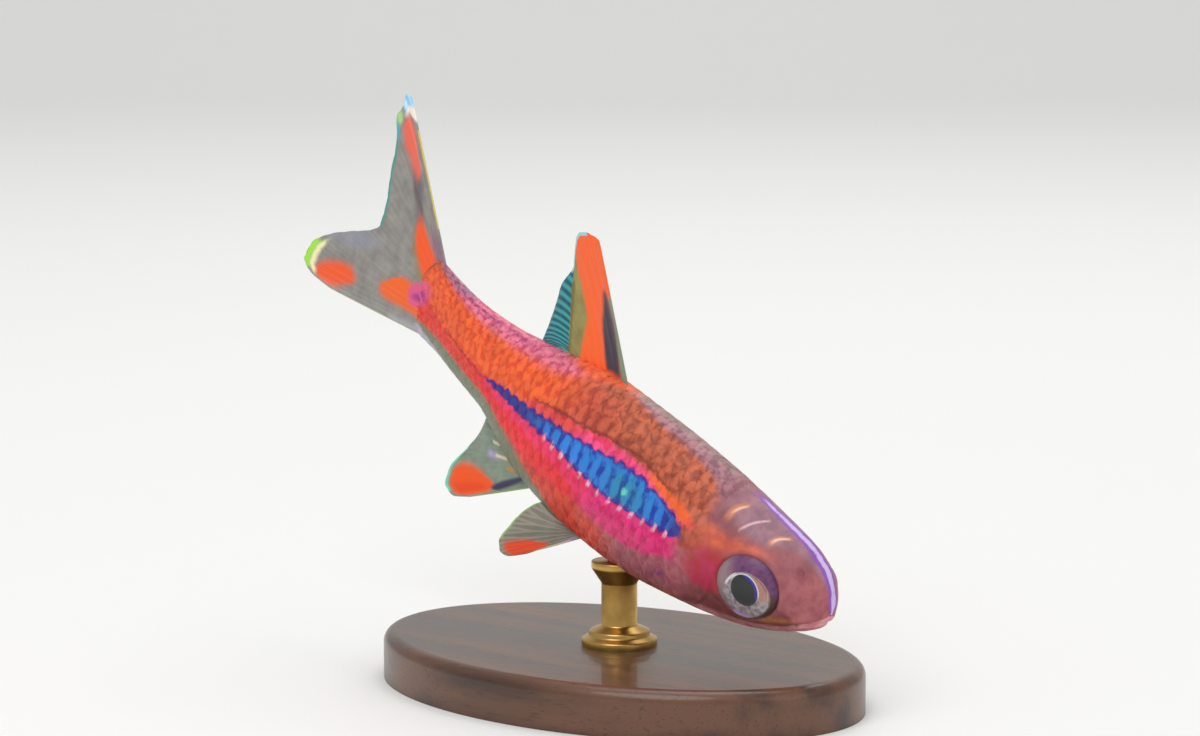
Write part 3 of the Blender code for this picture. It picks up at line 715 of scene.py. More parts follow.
def build_markings():
    """Colour and gloss masks from the place on the body, shared by the skin and the scales."""
    group, p, given, out = new_group(
        "markings",
        (("Station", 0.5), ("Turn", 0.5), ("Band", 0.5), ("Edge", 0.0), ("Fold", 0.5), ("Chance", 0.5)),
        (("Color", "Color"), ("Stripe", "Float"), ("Height", "Float")),
    )
    broad, medium, fine, station, turn = wandering(p, given)
    folds = folded(p, given)
    weave = p.smooth(folds, 0.42, 0.72)
    head = p.smooth(p.plus(station, p.scaled(broad, -0.03, 0.03)), 0.262, 0.215)
    colour = p.mix(head, flank_colour(p, station, turn, weave), head_colour(p, station, turn, medium, fine))
    colour = with_skull_highlights(p, given, colour)

    upper = p.times(p.smooth(turn, 0.44, 0.34), p.smooth(station, 0.66, 0.50))
    rims = p.times(given["Edge"], p.scaled(upper, 0.03, 0.22), p.smooth(broad, 0.30, 0.60))
    colour = p.mix(rims, colour, SCALE_RIM)
    stripe, blue = stripe_colour(p, given, station, turn, folds)
    colour = p.mix(stripe, colour, blue)
    flecks = p.zone(station, turn, *map(in_shares, band(FLECK_LINE, FLECK_HALF_WIDTH)), 0.012)
    flecks = p.times(flecks, p.smooth(given["Band"], 0.6, 0.95), p.smooth(fine, 0.30, 0.60), 0.85)
    colour = p.mix(flecks, colour, FLECK)

    shade = p.scaled(p.sloped(given["Chance"], 0.5, p.times(broad, 0.5)), *SHADE_RANGE)
    grey = p.node("CombineColor", shade, shade, shade).outputs[0]
    colour = p.mix(0.8, colour, grey, "MULTIPLY")
    specks = p.times(p.smooth(fine, 0.60, 0.72), p.smooth(turn, 0.62, 0.30), 0.22)
    p.put(p.mix(specks, colour, SPECK), out["Color"])
    p.put(stripe, out["Stripe"])
    height = p.times(weave, p.smooth(given["Station"], 0.19, 0.26),
                     p.scaled(p.smooth(turn, 0.45, 0.38), 0.35, 1.0))
    p.put(p.sloped(height, 0.8, p.times(fine, 0.7)), out["Height"])
    return group


markings = build_markings()
print("markings:", len(BODY_ZONES), "body zones,", len(HEAD_ZONES), "head zones,",
      len(markings.nodes), "nodes")

# %% [markdown]
# One skin covers head, trunk and tail stalk, so that no seam shows where the solids part. It
# starts as a fine UV sphere with its poles at the snout and at the root of the tail. Every vertex
# then moves onto the body's surface, with what the head needs added on the way: the gill cover,
# the lips and the line of the mouth, the nostrils, and a socket with a low rim round each eye.

# %% Places on the head
EYE_STATION = 0.132
EYE_HEIGHT = -0.007
EYE_LENGTH = 0.00092
EYE_RADIUS = 0.00080
EYE_HALF_DEPTH = 0.00036
EYE_PROUD = 0.00010
EYE_TOE_IN = math.radians(12)
GILL_EDGE = 0.285
GILL_EDGE_SWEEP = 0.055
GILL_COVER_FRONT = 0.190
GILL_COVER_CURVE = 0.045
GILL_COVER_TURNS = (math.radians(56), math.radians(152))
GILL_COVER_RISE = 0.00011
MOUTH_FRONT = (0.0, -0.008)
MOUTH_CORNER = (0.052, -0.034)
LIP_RISE = 0.00006
LIP_WIDTH = 0.012
MOUTH_DEPTH = 0.00010
MOUTH_WIDTH = 0.0022
NOSTRILS = ((0.044, 47), (0.062, 47))
NOSTRIL_RADIUS = 0.00010
NOSTRIL_DEPTH = 0.00005
PREOPERCLE_RISE = 0.00004
SOCKET_DEPTH = 0.00022
SOCKET_RIM = 0.00003


def eye_frame(side):
    """Centre and axes of an eye: forward along the head, up, and outward. Side is -1 for the right."""
    centre, _, left, up = axes(np.array(EYE_STATION))
    out = section(EYE_STATION, math.pi / 2)[0] * STANDARD_LENGTH + EYE_PROUD - EYE_HALF_DEPTH
    toe = side * -EYE_TOE_IN
    outward = np.array([math.sin(EYE_TOE_IN), side * math.cos(EYE_TOE_IN), 0.0])
    forward = np.array([math.cos(toe), math.sin(toe), 0.0])
    middle = (centre + up * EYE_HEIGHT) * STANDARD_LENGTH + np.array([0.0, side * out, 0.0])
    return placed(middle), tipped(forward), tipped(np.array([0.0, 0.0, 1.0])), tipped(outward)


def in_eye(points, side):
    """Points in an eye's own axes, in metres."""
    middle, forward, up, outward = eye_frame(side)
    return np.stack([(points - middle) @ axis for axis in (forward, up, outward)], axis=-1)


for side in (-1, 1):
    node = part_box("eye_right" if side < 0 else "eye_left")
    drift = Vector(eye_frame(side)[0]) - (node[0] + node[1]) / 2
    print("eye", side, "lies", round(drift.length * 1000, 3), "mm from its solid's middle")


# %% Relief of the head
def step(value, start, end):
    """Rises smoothly from 0 to 1."""
    t = np.clip((value - start) / (end - start), 0, 1)
    return t * t * (3 - 2 * t)


def gill_line(turn):
    """Station of the gill cover's rear edge, furthest back at mid height."""
    return GILL_EDGE - GILL_EDGE_SWEEP * np.cos(turn) ** 2


def head_relief(s, turn):
    """How far the skin stands out from the plain body, in metres."""
    around = np.abs(turn)
    share = (around - GILL_COVER_TURNS[0]) / (GILL_COVER_TURNS[1] - GILL_COVER_TURNS[0])
    ends = step(np.minimum(share, 1 - share), 0.0, 0.12)
    front = GILL_COVER_FRONT + GILL_COVER_CURVE * (2 * share - 1) ** 2
    edge = gill_line(around)
    cover = step(s, front - 0.006, front + 0.03) * step(s, edge + 0.002, edge - 0.004)
    relief = GILL_COVER_RISE * cover * ends
    relief += PREOPERCLE_RISE * ends * np.exp(-(((s - front) / 0.004) ** 2))

    run = (s - MOUTH_FRONT[0]) / (MOUTH_CORNER[0] - MOUTH_FRONT[0])
    line = MOUTH_FRONT[1] + (MOUTH_CORNER[1] - MOUTH_FRONT[1]) * run
    away = section(s, turn)[1] - line
    fade = step(s, MOUTH_CORNER[0] + 0.006, MOUTH_CORNER[0] - 0.008)
    relief += LIP_RISE * np.exp(-((away / LIP_WIDTH) ** 4)) * fade
    relief -= MOUTH_DEPTH * np.exp(-((away / MOUTH_WIDTH) ** 2)) * fade

    for station, degrees in NOSTRILS:
        gap = around - math.radians(degrees)
        across = gap * back_height(station) * STANDARD_LENGTH
        distance = np.hypot((s - station) * STANDARD_LENGTH, across) / NOSTRIL_RADIUS
        relief += NOSTRIL_DEPTH * (0.5 * np.exp(-((distance - 1.3) ** 2) * 4) - np.exp(-(distance ** 4)))
    return relief


def eye_relief(points):
    """The socket under each eye and the low rim of skin round it."""
    relief = np.zeros(len(points))
    for side in (-1, 1):
        local = in_eye(points, side)
        near = np.sign(points[:, 1]) == side
        distance = np.hypot(local[:, 0] / EYE_LENGTH, local[:, 1] / EYE_RADIUS)
        hollow = -SOCKET_DEPTH * step(distance, 0.99, 0.84)
        rim = SOCKET_RIM * np.exp(-(((distance - 1.06) / 0.08) ** 2))
        relief += np.where(near, hollow + rim, 0.0)
    return relief


print("gill cover ends at station", GILL_EDGE)

# %% Build the skin
SKIN_ROUND = 200
SKIN_RINGS = 400
RING_CROWDING = 1.35
COAT_DEPTH = 0.000012
NAPE = 0.212
ROW_EVENNESS = 0.14


def even_turn(share):
    """The turn at a share of the way round from back to belly, with rows evenly far apart."""
    return math.pi * share + ROW_EVENNESS * np.sin(2 * math.pi * share)


def coat_start(share):
    """Station where the scales begin at each share of the way from back to belly."""
    behind_gills = gill_line(even_turn(share)) + 0.002
    return NAPE + (behind_gills - NAPE) * step(share, 0.28, 0.40)


def set_uv(mesh, name, values):
    """A UV map from one pair of numbers per vertex."""
    layer = mesh.uv_layers.new(name=name)
    corners = np.empty(len(mesh.loops), np.int32)
    mesh.loops.foreach_get("vertex_index", corners)
    layer.uv.foreach_set("vector", np.asarray(values, np.float32)[corners].ravel())


def read_vertices(mesh):
    """All vertices of a mesh as rows of three numbers."""
    values = np.empty(len(mesh.vertices) * 3, np.float32)
    mesh.vertices.foreach_get("co", values)
    return values.reshape(-1, 3).astype(float)


def write_vertices(mesh, points):
    """Moves all vertices of a mesh."""
    mesh.vertices.foreach_set("co", np.asarray(points, np.float32).ravel())
    mesh.update()


def outward(mesh):
    """Turns all faces of closed meshes outward."""
    bm = bmesh.new()
    bm.from_mesh(mesh)
    bmesh.ops.recalc_face_normals(bm, faces=bm.faces)
    bm.to_mesh(mesh)
    bm.free()
    mesh.shade_smooth()


def new_piece(name, mesh, nodes=()):
    """A finished piece that rides on the one body and replaces its nodes."""
    piece = bpy.data.objects.new(name, mesh)
    scene.collection.objects.link(piece)
    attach(piece, "root")
    if nodes:
        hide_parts(*nodes)
    return piece


def build_skin():
    """The whole skin, with its place on the body kept as a UV map."""
    bm = bmesh.new()
    bmesh.ops.create_uvsphere(bm, u_segments=SKIN_ROUND, v_segments=SKIN_RINGS, radius=1.0)
    mesh = mesh_of(bm, "skin")
    ball = read_vertices(mesh)
    from_pole = np.arccos(np.clip(ball[:, 2], -1, 1)) / math.pi
    s = SNOUT_START + (TAIL_END - SNOUT_START) * from_pole ** RING_CROWDING
    turn = np.arctan2(ball[:, 1], ball[:, 0])
    start = coat_start(np.abs(turn) / math.pi)
    coat = COAT_DEPTH * step(s, start - 0.004, start + 0.020)
    plain = surface(s, turn)
    lift = head_relief(s, turn) * step(s, SNOUT_START, SNOUT_START + 0.004) + eye_relief(plain) - coat
    write_vertices(mesh, surface(s, turn, lift))
    set_uv(mesh, "body", np.stack([s, np.abs(turn) / math.pi], axis=-1))
    outward(mesh)
    return new_piece("skin", mesh, ("head", "trunk", "tail_stalk"))


skin = build_skin()
print("skin:", len(skin.data.polygons), "faces")


# %% Material of the skin
SCALE_STEP = 0.0235
BAND_BOW = 0.012
RELIEF = (0.4, 0.00003)


def bands(p, station, turn):
    """Bright bands across the stripe, one to a scale, each bowed like the scale's edge."""
    bow = p.maths("POWER", p.sloped(turn, 8.0, -8.0 * STRIPE_MIDDLE), 2.0)
    bowed = p.sloped(bow, -BAND_BOW, station)
    return p.sloped(p.maths("SINE", p.times(bowed, 2 * math.pi / SCALE_STEP)), 0.5, 0.5)


def skin_material():
    """The markings on smooth, wet looking skin."""
    material, shader = new_material(
        "fish skin", Roughness=0.48, Specular_IOR_Level=0.25, Coat_Weight=0.05, Coat_Roughness=0.30,
        Subsurface_Weight=0.12, Subsurface_Scale=0.0004)
    p = Pattern(material.node_tree)
    station, turn = p.uv("body")
    made = use_group(p, markings, Station=station, Turn=turn, Band=bands(p, station, turn))
    p.put(made["Color"], shader.inputs["Base Color"])
    p.bump(shader, made["Height"], *RELIEF)
    return material


skin.data.materials.append(skin_material())
print("skin material ready")

# %% [markdown]
# The trunk wears a coat of scales in staggered rows, like tiles on a roof: each one's root lies
# under the one before it and its round free edge points to the tail. They could be drawn as bump
# alone, but real edges catch the light, so each scale is a small grid bent over the body, with its
# rim turned down into the skin. Each keeps its own number for a slight change of shade.

# %% The coat of scales
SCALE_ROWS = 11
ROW_PHASE = 0.74
SCALE_LENGTH = 0.040
SCALE_HALF_WIDTH = 1.04 / SCALE_ROWS
SCALE_SUNK = -0.000017
SCALE_ROOT = -0.000017
SCALE_FREE_EDGE = 0.000002
SCALE_LENGTHWAYS = 8
SCALE_ACROSS = 7
RIM_DROP = 0.92
SCALE_BULGE = 0.000005
SCALE_MIDDLE = 0.68
SIZE_CHANGE = 0.05
BAKE_PATCH = 0.003
BAKE_SPREAD = 0.22
COAT_END = 1.01


def scale_places():
    """Root station, share round and side of every scale, row by row."""
    places = []
    for side in (-1, 1):
        rows = [(j + ROW_PHASE) / SCALE_ROWS for j in range(SCALE_ROWS)]
        if side > 0:
            rows.insert(0, 0.0)
        for share in rows:
            odd = round(share * SCALE_ROWS - ROW_PHASE) % 2
            s = float(coat_start(share))
            s = math.floor(s / SCALE_STEP) * SCALE_STEP + SCALE_STEP * 0.5 * odd
            while s < COAT_END - SCALE_LENGTH * 0.5:
                if s > coat_start(share) - SCALE_STEP * 0.6:
                    places.append((s, share, side))
                s += SCALE_STEP
    return places


def scale_patch():
    """One flat scale as a small grid, copied for every scale of the coat."""
    bm = bmesh.new()
    bmesh.ops.create_grid(bm, x_segments=SCALE_LENGTHWAYS, y_segments=SCALE_ACROSS, size=1.0)
    return mesh_of(bm, "one scale")


def rounded(along):
    """Half width of a scale at each share of its length: a broad root and a round free edge."""
    root = 0.80 + 0.20 * np.sin(np.clip(2 * along, 0, 1) * math.pi / 2)
    return root * np.sqrt(np.maximum(1 - np.clip(2 * along - 1, 0, 1) ** 2.4, 0))


def build_coat(name, side):
    """All scales of one side as one mesh."""
    patch = scale_patch()
    flat = read_vertices(patch)
    rim = (np.abs(flat[:, 0]) > 0.999) | (np.abs(flat[:, 1]) > 0.999)
    along = np.clip(flat[:, 0] / (1 - 2 * RIM_DROP / SCALE_LENGTHWAYS), -1, 1) * 0.5 + 0.5
    across = np.clip(flat[:, 1] / (1 - 2 * RIM_DROP / SCALE_ACROSS), -1, 1)
    points, bodies, bakes, patches, chances = [], [], [], [], []
    bm = bmesh.new()
    count = 0
    for root, share, where in scale_places():
        if where != side:
            continue
        size = 1 + rng.uniform(-SIZE_CHANGE, SIZE_CHANGE)
        s = root + along * SCALE_LENGTH * size
        q = share + across * rounded(along) * SCALE_HALF_WIDTH
        lift = SCALE_ROOT + (SCALE_FREE_EDGE - SCALE_ROOT) * along ** 0.8
        lift = lift + SCALE_BULGE * (1 - across ** 2)
        lift = np.where(rim, SCALE_SUNK, lift)
        turn = side * even_turn(q)
        points.append(surface(np.minimum(s, TAIL_END - 0.002), turn, lift))
        middle = (root + SCALE_MIDDLE * SCALE_LENGTH, float(even_turn(share)) / math.pi)
        own = np.stack([s, np.abs(turn) / math.pi], axis=-1)
        bodies.append(own * 0.97 + np.array(middle) * 0.03)
        home = np.array([root, 0.25 + side * share * BAKE_SPREAD + (0.25 if side > 0 else 0.0)])
        bakes.append(home + np.stack([along - 0.5, across * 0.5], axis=-1) * BAKE_PATCH)
        patches.append(np.stack([along, across * 0.5 + 0.5], axis=-1))
        chances.append(np.full(len(flat), rng.random()))
        bm.from_mesh(patch)
        count += 1
    mesh = mesh_of(bm, name)
    bpy.data.meshes.remove(patch)
    write_vertices(mesh, np.concatenate(points))
    set_uv(mesh, "body", np.concatenate(bodies))
    set_uv(mesh, "scale", np.concatenate(patches))
    set_uv(mesh, "OFBake", np.concatenate(bakes))
    attribute = mesh.attributes.new("chance", "FLOAT", "POINT")
    attribute.data.foreach_set("value", np.concatenate(chances).astype(np.float32))
    mesh.shade_smooth()
    piece = new_piece(name, mesh)
    print(name, ":", count, "scales,", len(mesh.polygons), "faces")
    return piece


coats = [build_coat("scales_right", -1), build_coat("scales_left", 1)]


# %% Material of the scales
def scale_material():
    """The same markings, with painted shading within each scale, and a little glossier than the skin."""
    material, shader = new_material(
        "fish scales", Roughness=0.45, Specular_IOR_Level=0.25, Coat_Weight=0.06, Coat_Roughness=0.28)
    p = Pattern(material.node_tree)
    station, turn = p.uv("body")
    along, across = p.uv("scale")
    uneven = p.noise(p.place(), 5000.0, 3.0)
    along = p.plus(along, p.scaled(uneven, -0.20, 0.20))
    across = p.plus(p.maths("ABSOLUTE", p.sloped(across, 2.0, -1.0)), p.scaled(uneven, 0.25, -0.25))
    edge = p.maths("MAXIMUM", p.smooth(along, 0.80, 0.98), p.smooth(across, 0.72, 1.0))
    edge = p.maths("MAXIMUM", edge, p.smooth(along, 0.56, 0.40))
    # Painted shade and highlight on each scale: dark at its root and sides, in the shade under the scale in
    # front, and lighter towards its own free edge.
    scale_shading = p.minus(p.smooth(along, 0.45, 0.85), p.times(p.smooth(across, 0.3, 1.0), 0.6))
    chance = p.node("Attribute", attribute_name="chance").outputs["Fac"]
    made = use_group(p, markings, Station=station, Turn=turn, Band=bands(p, station, turn),
                     Edge=edge, Fold=scale_shading, Chance=chance)
    p.put(made["Color"], shader.inputs["Base Color"])
    p.bump(shader, made["Height"], *RELIEF)
    p.put(p.times(made["Stripe"], 0.35), shader.inputs["Metallic"])
    return material


coat_material = scale_material()
for coat in coats:
    coat.data.materials.append(coat_material)
print("scale material ready")

# %% [markdown]
# A fish's eye is a flattened ball with a clear window over the iris. Each eye here is two pieces:
# the ball, whose silver ring stands a little proud round a dished pupil, and the window, a thin
# clear lens. The ring sits low in the ball, as it does when the fish looks down to the side.

# %% Eyeballs
EYE_ROUND = 72
EYE_RINGS = 48
RING = ((0.000080, -0.000130), (0.00061, 0.00053), 0.0)
PUPIL = ((0.000010, -0.000030), (0.00040, 0.00034), math.radians(-36))
RING_RISE = 0.00002
PUPIL_DISH = 0.00002
WINDOW_RISE = 0.00006


def disc(points, shape):
    """Distance from the middle of an oval, in its radii. A shape is a centre, two radii and a tilt."""
    (centre_x, centre_y), (long, short), tilt = shape
    x, y = points[:, 0] - centre_x, points[:, 1] - centre_y
    across = x * math.cos(tilt) + y * math.sin(tilt)
    return np.hypot(across / long, (y * math.cos(tilt) - x * math.sin(tilt)) / short)


def ball_mesh(name, radii):
    """A UV sphere scaled to three radii."""
    bm = bmesh.new()
    bmesh.ops.create_uvsphere(bm, u_segments=EYE_ROUND, v_segments=EYE_RINGS, radius=1.0)
    bmesh.ops.scale(bm, vec=radii, verts=bm.verts)
    return mesh_of(bm, name)


def set_in_head(mesh, local, side):
    """Moves a mesh from an eye's own axes onto the head."""
    middle, forward, up, out = eye_frame(side)
    write_vertices(mesh, middle + local[:, :1] * forward + local[:, 1:2] * up + local[:, 2:] * out)
    outward(mesh)


def build_eye(side, name):
    """One eyeball, with its own flat map centred on the eye."""
    mesh = ball_mesh(name, (EYE_LENGTH, EYE_RADIUS, EYE_HALF_DEPTH))
    local = read_vertices(mesh)
    relief = RING_RISE * step(disc(local, RING), 1.06, 0.94)
    relief -= PUPIL_DISH * step(disc(local, PUPIL), 1.04, 0.80)
    local[:, 2] += np.where(local[:, 2] > 0, relief, 0)
    set_uv(mesh, "eye", local[:, :2] / (2 * EYE_RADIUS) + 0.5)
    set_in_head(mesh, local, side)
    return new_piece(name, mesh, ("eye_right" if side < 0 else "eye_left",))


def build_window(side, name):
    """The clear window over the iris."""
    centre, radii, _ = RING
    mesh = ball_mesh(name, (*radii, WINDOW_RISE))
    local = read_vertices(mesh)
    sunk = EYE_HALF_DEPTH * math.sqrt(1 - (centre[1] / EYE_RADIUS) ** 2)
    local += np.array([*centre, sunk])
    set_in_head(mesh, local, side)
    return new_piece(name, mesh)


eyes = [build_eye(-1, "eyeball_right"), build_eye(1, "eyeball_left")]
windows = [build_window(-1, "eye_window_right"), build_window(1, "eye_window_left")]
print("eyes:", [len(o.data.polygons) for o in eyes + windows], "faces")


# %% Materials of the eyes
# Level with the ground the head points down, so ahead and above are turned within the eye: each is
# a share of forward and a share of up.
AHEAD = (0.89, 0.46)
ABOVE = (-0.34, 0.94)
EYE_PURPLE_AND_SHADE = ((92, 52, 96), (122, 76, 114))
EYE_BEIGE = (152, 128, 132)
EYE_BROWN = (88, 62, 54)
EYE_EDGE_HIGHLIGHT = (150, 96, 104)
SILVER = ((142, 130, 136), (204, 192, 198))
PEACH = (206, 150, 130)
VIOLET_GLINT = (206, 182, 250)
WHITE_GLINT = (255, 250, 255)
PUPIL_DARK = (48, 50, 52)
PUPIL_BLUE_GLINT = (74, 58, 190)


def disc_mask(p, x, y, shape):
    """The same distance as above, read from the eye's flat map."""
    (centre_x, centre_y), (long, short), tilt = shape
    x, y = p.minus(x, centre_x / EYE_RADIUS), p.minus(y, centre_y / EYE_RADIUS)
    turned = p.node("VectorRotate", p.node("CombineXYZ", x, y).outputs[0], rotation_type="Z_AXIS")
    turned.inputs["Angle"].default_value = -tilt
    sizes = (EYE_RADIUS / long, EYE_RADIUS / short, 0.0)
    return p.length(p.node("VectorMath", turned.outputs[0], sizes, operation="MULTIPLY").outputs["Vector"])


def ball_colour(p, grain, whole, ahead, above):
    """Purple ball, partly painted shade under the brow, beige at the back and brown low in front, with a
    lighter painted band round its edge.
    """
    rough = p.plus(ahead, p.scaled(grain, -0.25, 0.25))
    # The purple is partly the eye's own colour and partly painted shade under the brow.
    colour = p.mix(p.scaled(grain, -0.6, 1.6), *EYE_PURPLE_AND_SHADE)
    colour = p.mix(p.smooth(rough, -0.10, -0.75), colour, EYE_BEIGE)
    colour = p.mix(p.times(p.smooth(above, -0.05, -0.40), p.smooth(ahead, 0.20, 0.50)), colour, EYE_BROWN)
    # Painted highlight: a lighter mauve band round the edge of the ball.
    return p.mix(p.times(p.smooth(whole, 0.88, 1.0), 0.5), colour, EYE_EDGE_HIGHLIGHT)


def ring_glints(p, ring, pupil, ahead, above):
    """Masks of painted highlights: the violet glint under the ring and the white arcs over it."""
    rim = p.times(p.smooth(ring, 0.87, 0.94), p.smooth(ring, 1.05, 0.99))
    violet_glint = p.times(rim, p.smooth(above, -0.64, -0.74), p.smooth(ahead, -0.60, -0.40),
                   p.smooth(ahead, 0.10, -0.05))
    highlight_arc = p.times(rim, p.smooth(above, 0.02, 0.16), p.smooth(ahead, -0.15, -0.30))
    inner = p.times(p.smooth(pupil, 0.97, 1.02), p.smooth(pupil, 1.14, 1.05),
                    p.smooth(above, -0.30, -0.12), p.smooth(ahead, -0.45, -0.25))
    return violet_glint, p.maths("MAXIMUM", highlight_arc, inner)


def eyeball_material():
    """Purple and beige ball, silver ring and dark pupil, with painted highlights."""
    material, shader = new_material("eyeball", Roughness=0.34, Specular_IOR_Level=0.3)
    p = Pattern(material.node_tree)
    x, y = (p.sloped(value, 2.0, -1.0) for value in p.uv("eye"))
    grain = p.noise(p.place(), 9000.0, 3.0)
    whole = ((0.0, 0.0), (EYE_LENGTH, EYE_RADIUS), 0.0)
    ring, pupil, whole = (disc_mask(p, x, y, shape) for shape in (RING, PUPIL, whole))
    ahead, above = (p.plus(p.times(x, a), p.times(y, b)) for a, b in (AHEAD, ABOVE))

    silver = p.mix(p.smooth(grain, 0.34, 0.66), *SILVER)
    front = p.times(p.smooth(ahead, 0.15, 0.42), p.smooth(above, -0.48, -0.16), 0.9)
    on_ring = p.smooth(ring, 1.05, 0.94)
    colour = p.mix(on_ring, ball_colour(p, grain, whole, ahead, above), p.mix(front, silver, PEACH))
    # Painted highlights: a violet glint under the ring, and white glints over the ring and round the top of
    # the pupil.
    violet_glint, white = ring_glints(p, ring, pupil, ahead, above)
    colour = p.mix(white, p.mix(violet_glint, colour, VIOLET_GLINT), WHITE_GLINT)
    # Painted highlight: a blue crescent inside the front of the pupil.
    pupil_glint = p.times(p.smooth(ahead, -0.02, 0.14), p.smooth(above, -0.36, -0.14),
                       p.smooth(pupil, 0.66, 0.94))
    colour = p.mix(p.smooth(pupil, 1.02, 0.96), colour, p.mix(pupil_glint, PUPIL_DARK, PUPIL_BLUE_GLINT))
    p.put(colour, shader.inputs["Base Color"])
    p.put(p.times(on_ring, p.smooth(pupil, 0.97, 1.02), 0.25), shader.inputs["Metallic"])
    p.bump(shader, grain, 0.15, 0.00001)
    return material


def window_material():
    """Clear and wet, with the faintest haze in its gloss."""
    material, shader = new_material(
        "eye window", Roughness=0.03, Base_Color=(1, 1, 1, 1), Transmission_Weight=1.0, IOR=1.34)
    p = Pattern(material.node_tree)
    p.put(p.scaled(p.noise(p.place(), 4000.0, 2.0), 0.01, 0.06), shader.inputs["Roughness"])
    return material


eye_finish, window_finish = eyeball_material(), window_material()
for eye, window in zip(eyes, windows):
    eye.data.materials.append(eye_finish)
    window.data.materials.append(window_finish)
print("eye materials ready")

# %% [markdown]
# A fin is a thin web stretched over bony rays that fork towards their tips. Each one starts as a
# flat grid, doubled to a thin closed box, and every vertex is then laid along the rays: guides
# say how long the ray is at each share of the root, how steeply it rises from the body's line and
# how far it leans to the left. The rays swell the web on both faces, as the real ones do.

# %% Shape of the fins
WEB = 0.000030
RAY_ROOT = 0.00003
RAY_TIP = 0.000012
RAY_FORK = (0.45, 0.95)
FIN_ROOT_SUNK = 0.00018
COLUMNS_PER_RAY = 8
FIN_STEPS = 64
TIP_NOTCH = 0.006
FIN_WAVE = 0.005
NUDGE = 0.004


def forked(u, v, rays):
    """How far each point lies from the middle of its ray or of a branch, in ray gaps."""
    phase = u * rays - np.floor(u * rays) - 0.5
    spread = 0.25 * step(v, *RAY_FORK)
    return np.abs(np.abs(phase) - spread), np.abs(phase)


def fin_points(u, v, rays, root, guides, side):
    """Points midway in a fin's web. The root gives station, side and height over the middle line."""
    shares, lengths, rises, leans = zip(*guides)
    length = smooth_curve(shares, lengths)(u)
    rise = np.radians(smooth_curve(shares, rises)(u))
    lean = np.radians(smooth_curve(shares, leans)(u))
    s, across, height = root(u)
    centre, back, left, up = axes(s)
    along = (back * np.cos(rise)[:, None] + up * np.sin(rise)[:, None]) * np.cos(lean)[:, None]
    along = along + left * (side * np.sin(lean))[:, None]
    base = centre + left * (side * across)[:, None] + up * height[:, None]
    _, phase = forked(u, v, rays)
    notch = 1 - TIP_NOTCH * (2 * phase) ** 2 * step(v, 0.80, 1.0)
    reach = v * length * notch - (1 - v) ** 8 * FIN_ROOT_SUNK / STANDARD_LENGTH
    wave = FIN_WAVE * np.sin(math.pi * v) * np.sin(2 * math.pi * u)
    points = base + along * reach[:, None] + left * wave[:, None]
    return points * STANDARD_LENGTH, along


def build_fin(name, nodes, rays, root, guides, side=1):
    """One fin as a thin closed body with its rays raised on both faces."""
    bm = bmesh.new()
    bmesh.ops.create_grid(bm, x_segments=rays * COLUMNS_PER_RAY, y_segments=FIN_STEPS, size=1.0)
    copied = bmesh.ops.extrude_face_region(bm, geom=bm.faces[:], use_keep_orig=True)["geom"]
    raised = [g for g in copied if isinstance(g, bmesh.types.BMVert)]
    bmesh.ops.translate(bm, vec=(0, 0, 1), verts=raised)
    mesh = mesh_of(bm, name)
    flat = read_vertices(mesh)
    u, v, face = flat[:, 0] / 2 + 0.5, flat[:, 1] / 2 + 0.5, flat[:, 2] * 2 - 1
    points, along = fin_points(u, v, rays, root, guides, side)
    before, _ = fin_points(np.maximum(u - NUDGE, 0), v, rays, root, guides, side)
    after, _ = fin_points(np.minimum(u + NUDGE, 1), v, rays, root, guides, side)
    normal = unit(np.cross(after - before, along))
    distance, _ = forked(u, v, rays)
    width = 0.22 - 0.08 * step(v, *RAY_FORK)
    ray = np.exp(-((distance / width) ** 4)) * (RAY_ROOT + (RAY_TIP - RAY_ROOT) * v)
    half = (WEB + ray) / 2 * (1 - 0.6 * step(v, 0.93, 1.0))
    write_vertices(mesh, placed(points + normal * (half * face)[:, None]))
    set_uv(mesh, "fin", np.stack([u, v], axis=-1))
    outward(mesh)
    return new_piece(name, mesh, nodes)


print("web, mm:", WEB * 1000, "with", COLUMNS_PER_RAY, "columns to a ray")

# %% Where the fins grow
def midline_root(start, end, edge):
    """A root along the back or the keel, between two stations."""
    return lambda u: (start + u * (end - start), u * 0, edge(start + u * (end - start)))


def keel(s):
    """Height of the keel over the middle line."""
    return -belly_depth(s)


def tail_fin_root(u):
    return u * 0 + 0.990, u * 0, 0.068 - 0.136 * u


def pelvic_root(u):
    s = 0.470 + 0.030 * u
    return s, 0.026 - 0.008 * u, -belly_depth(s) * 0.95


def pectoral_root(u):
    s = 0.312 + 0.010 * u
    turn = np.radians(102 + 17 * u)
    side, height = section(s, turn)
    return s, side, height


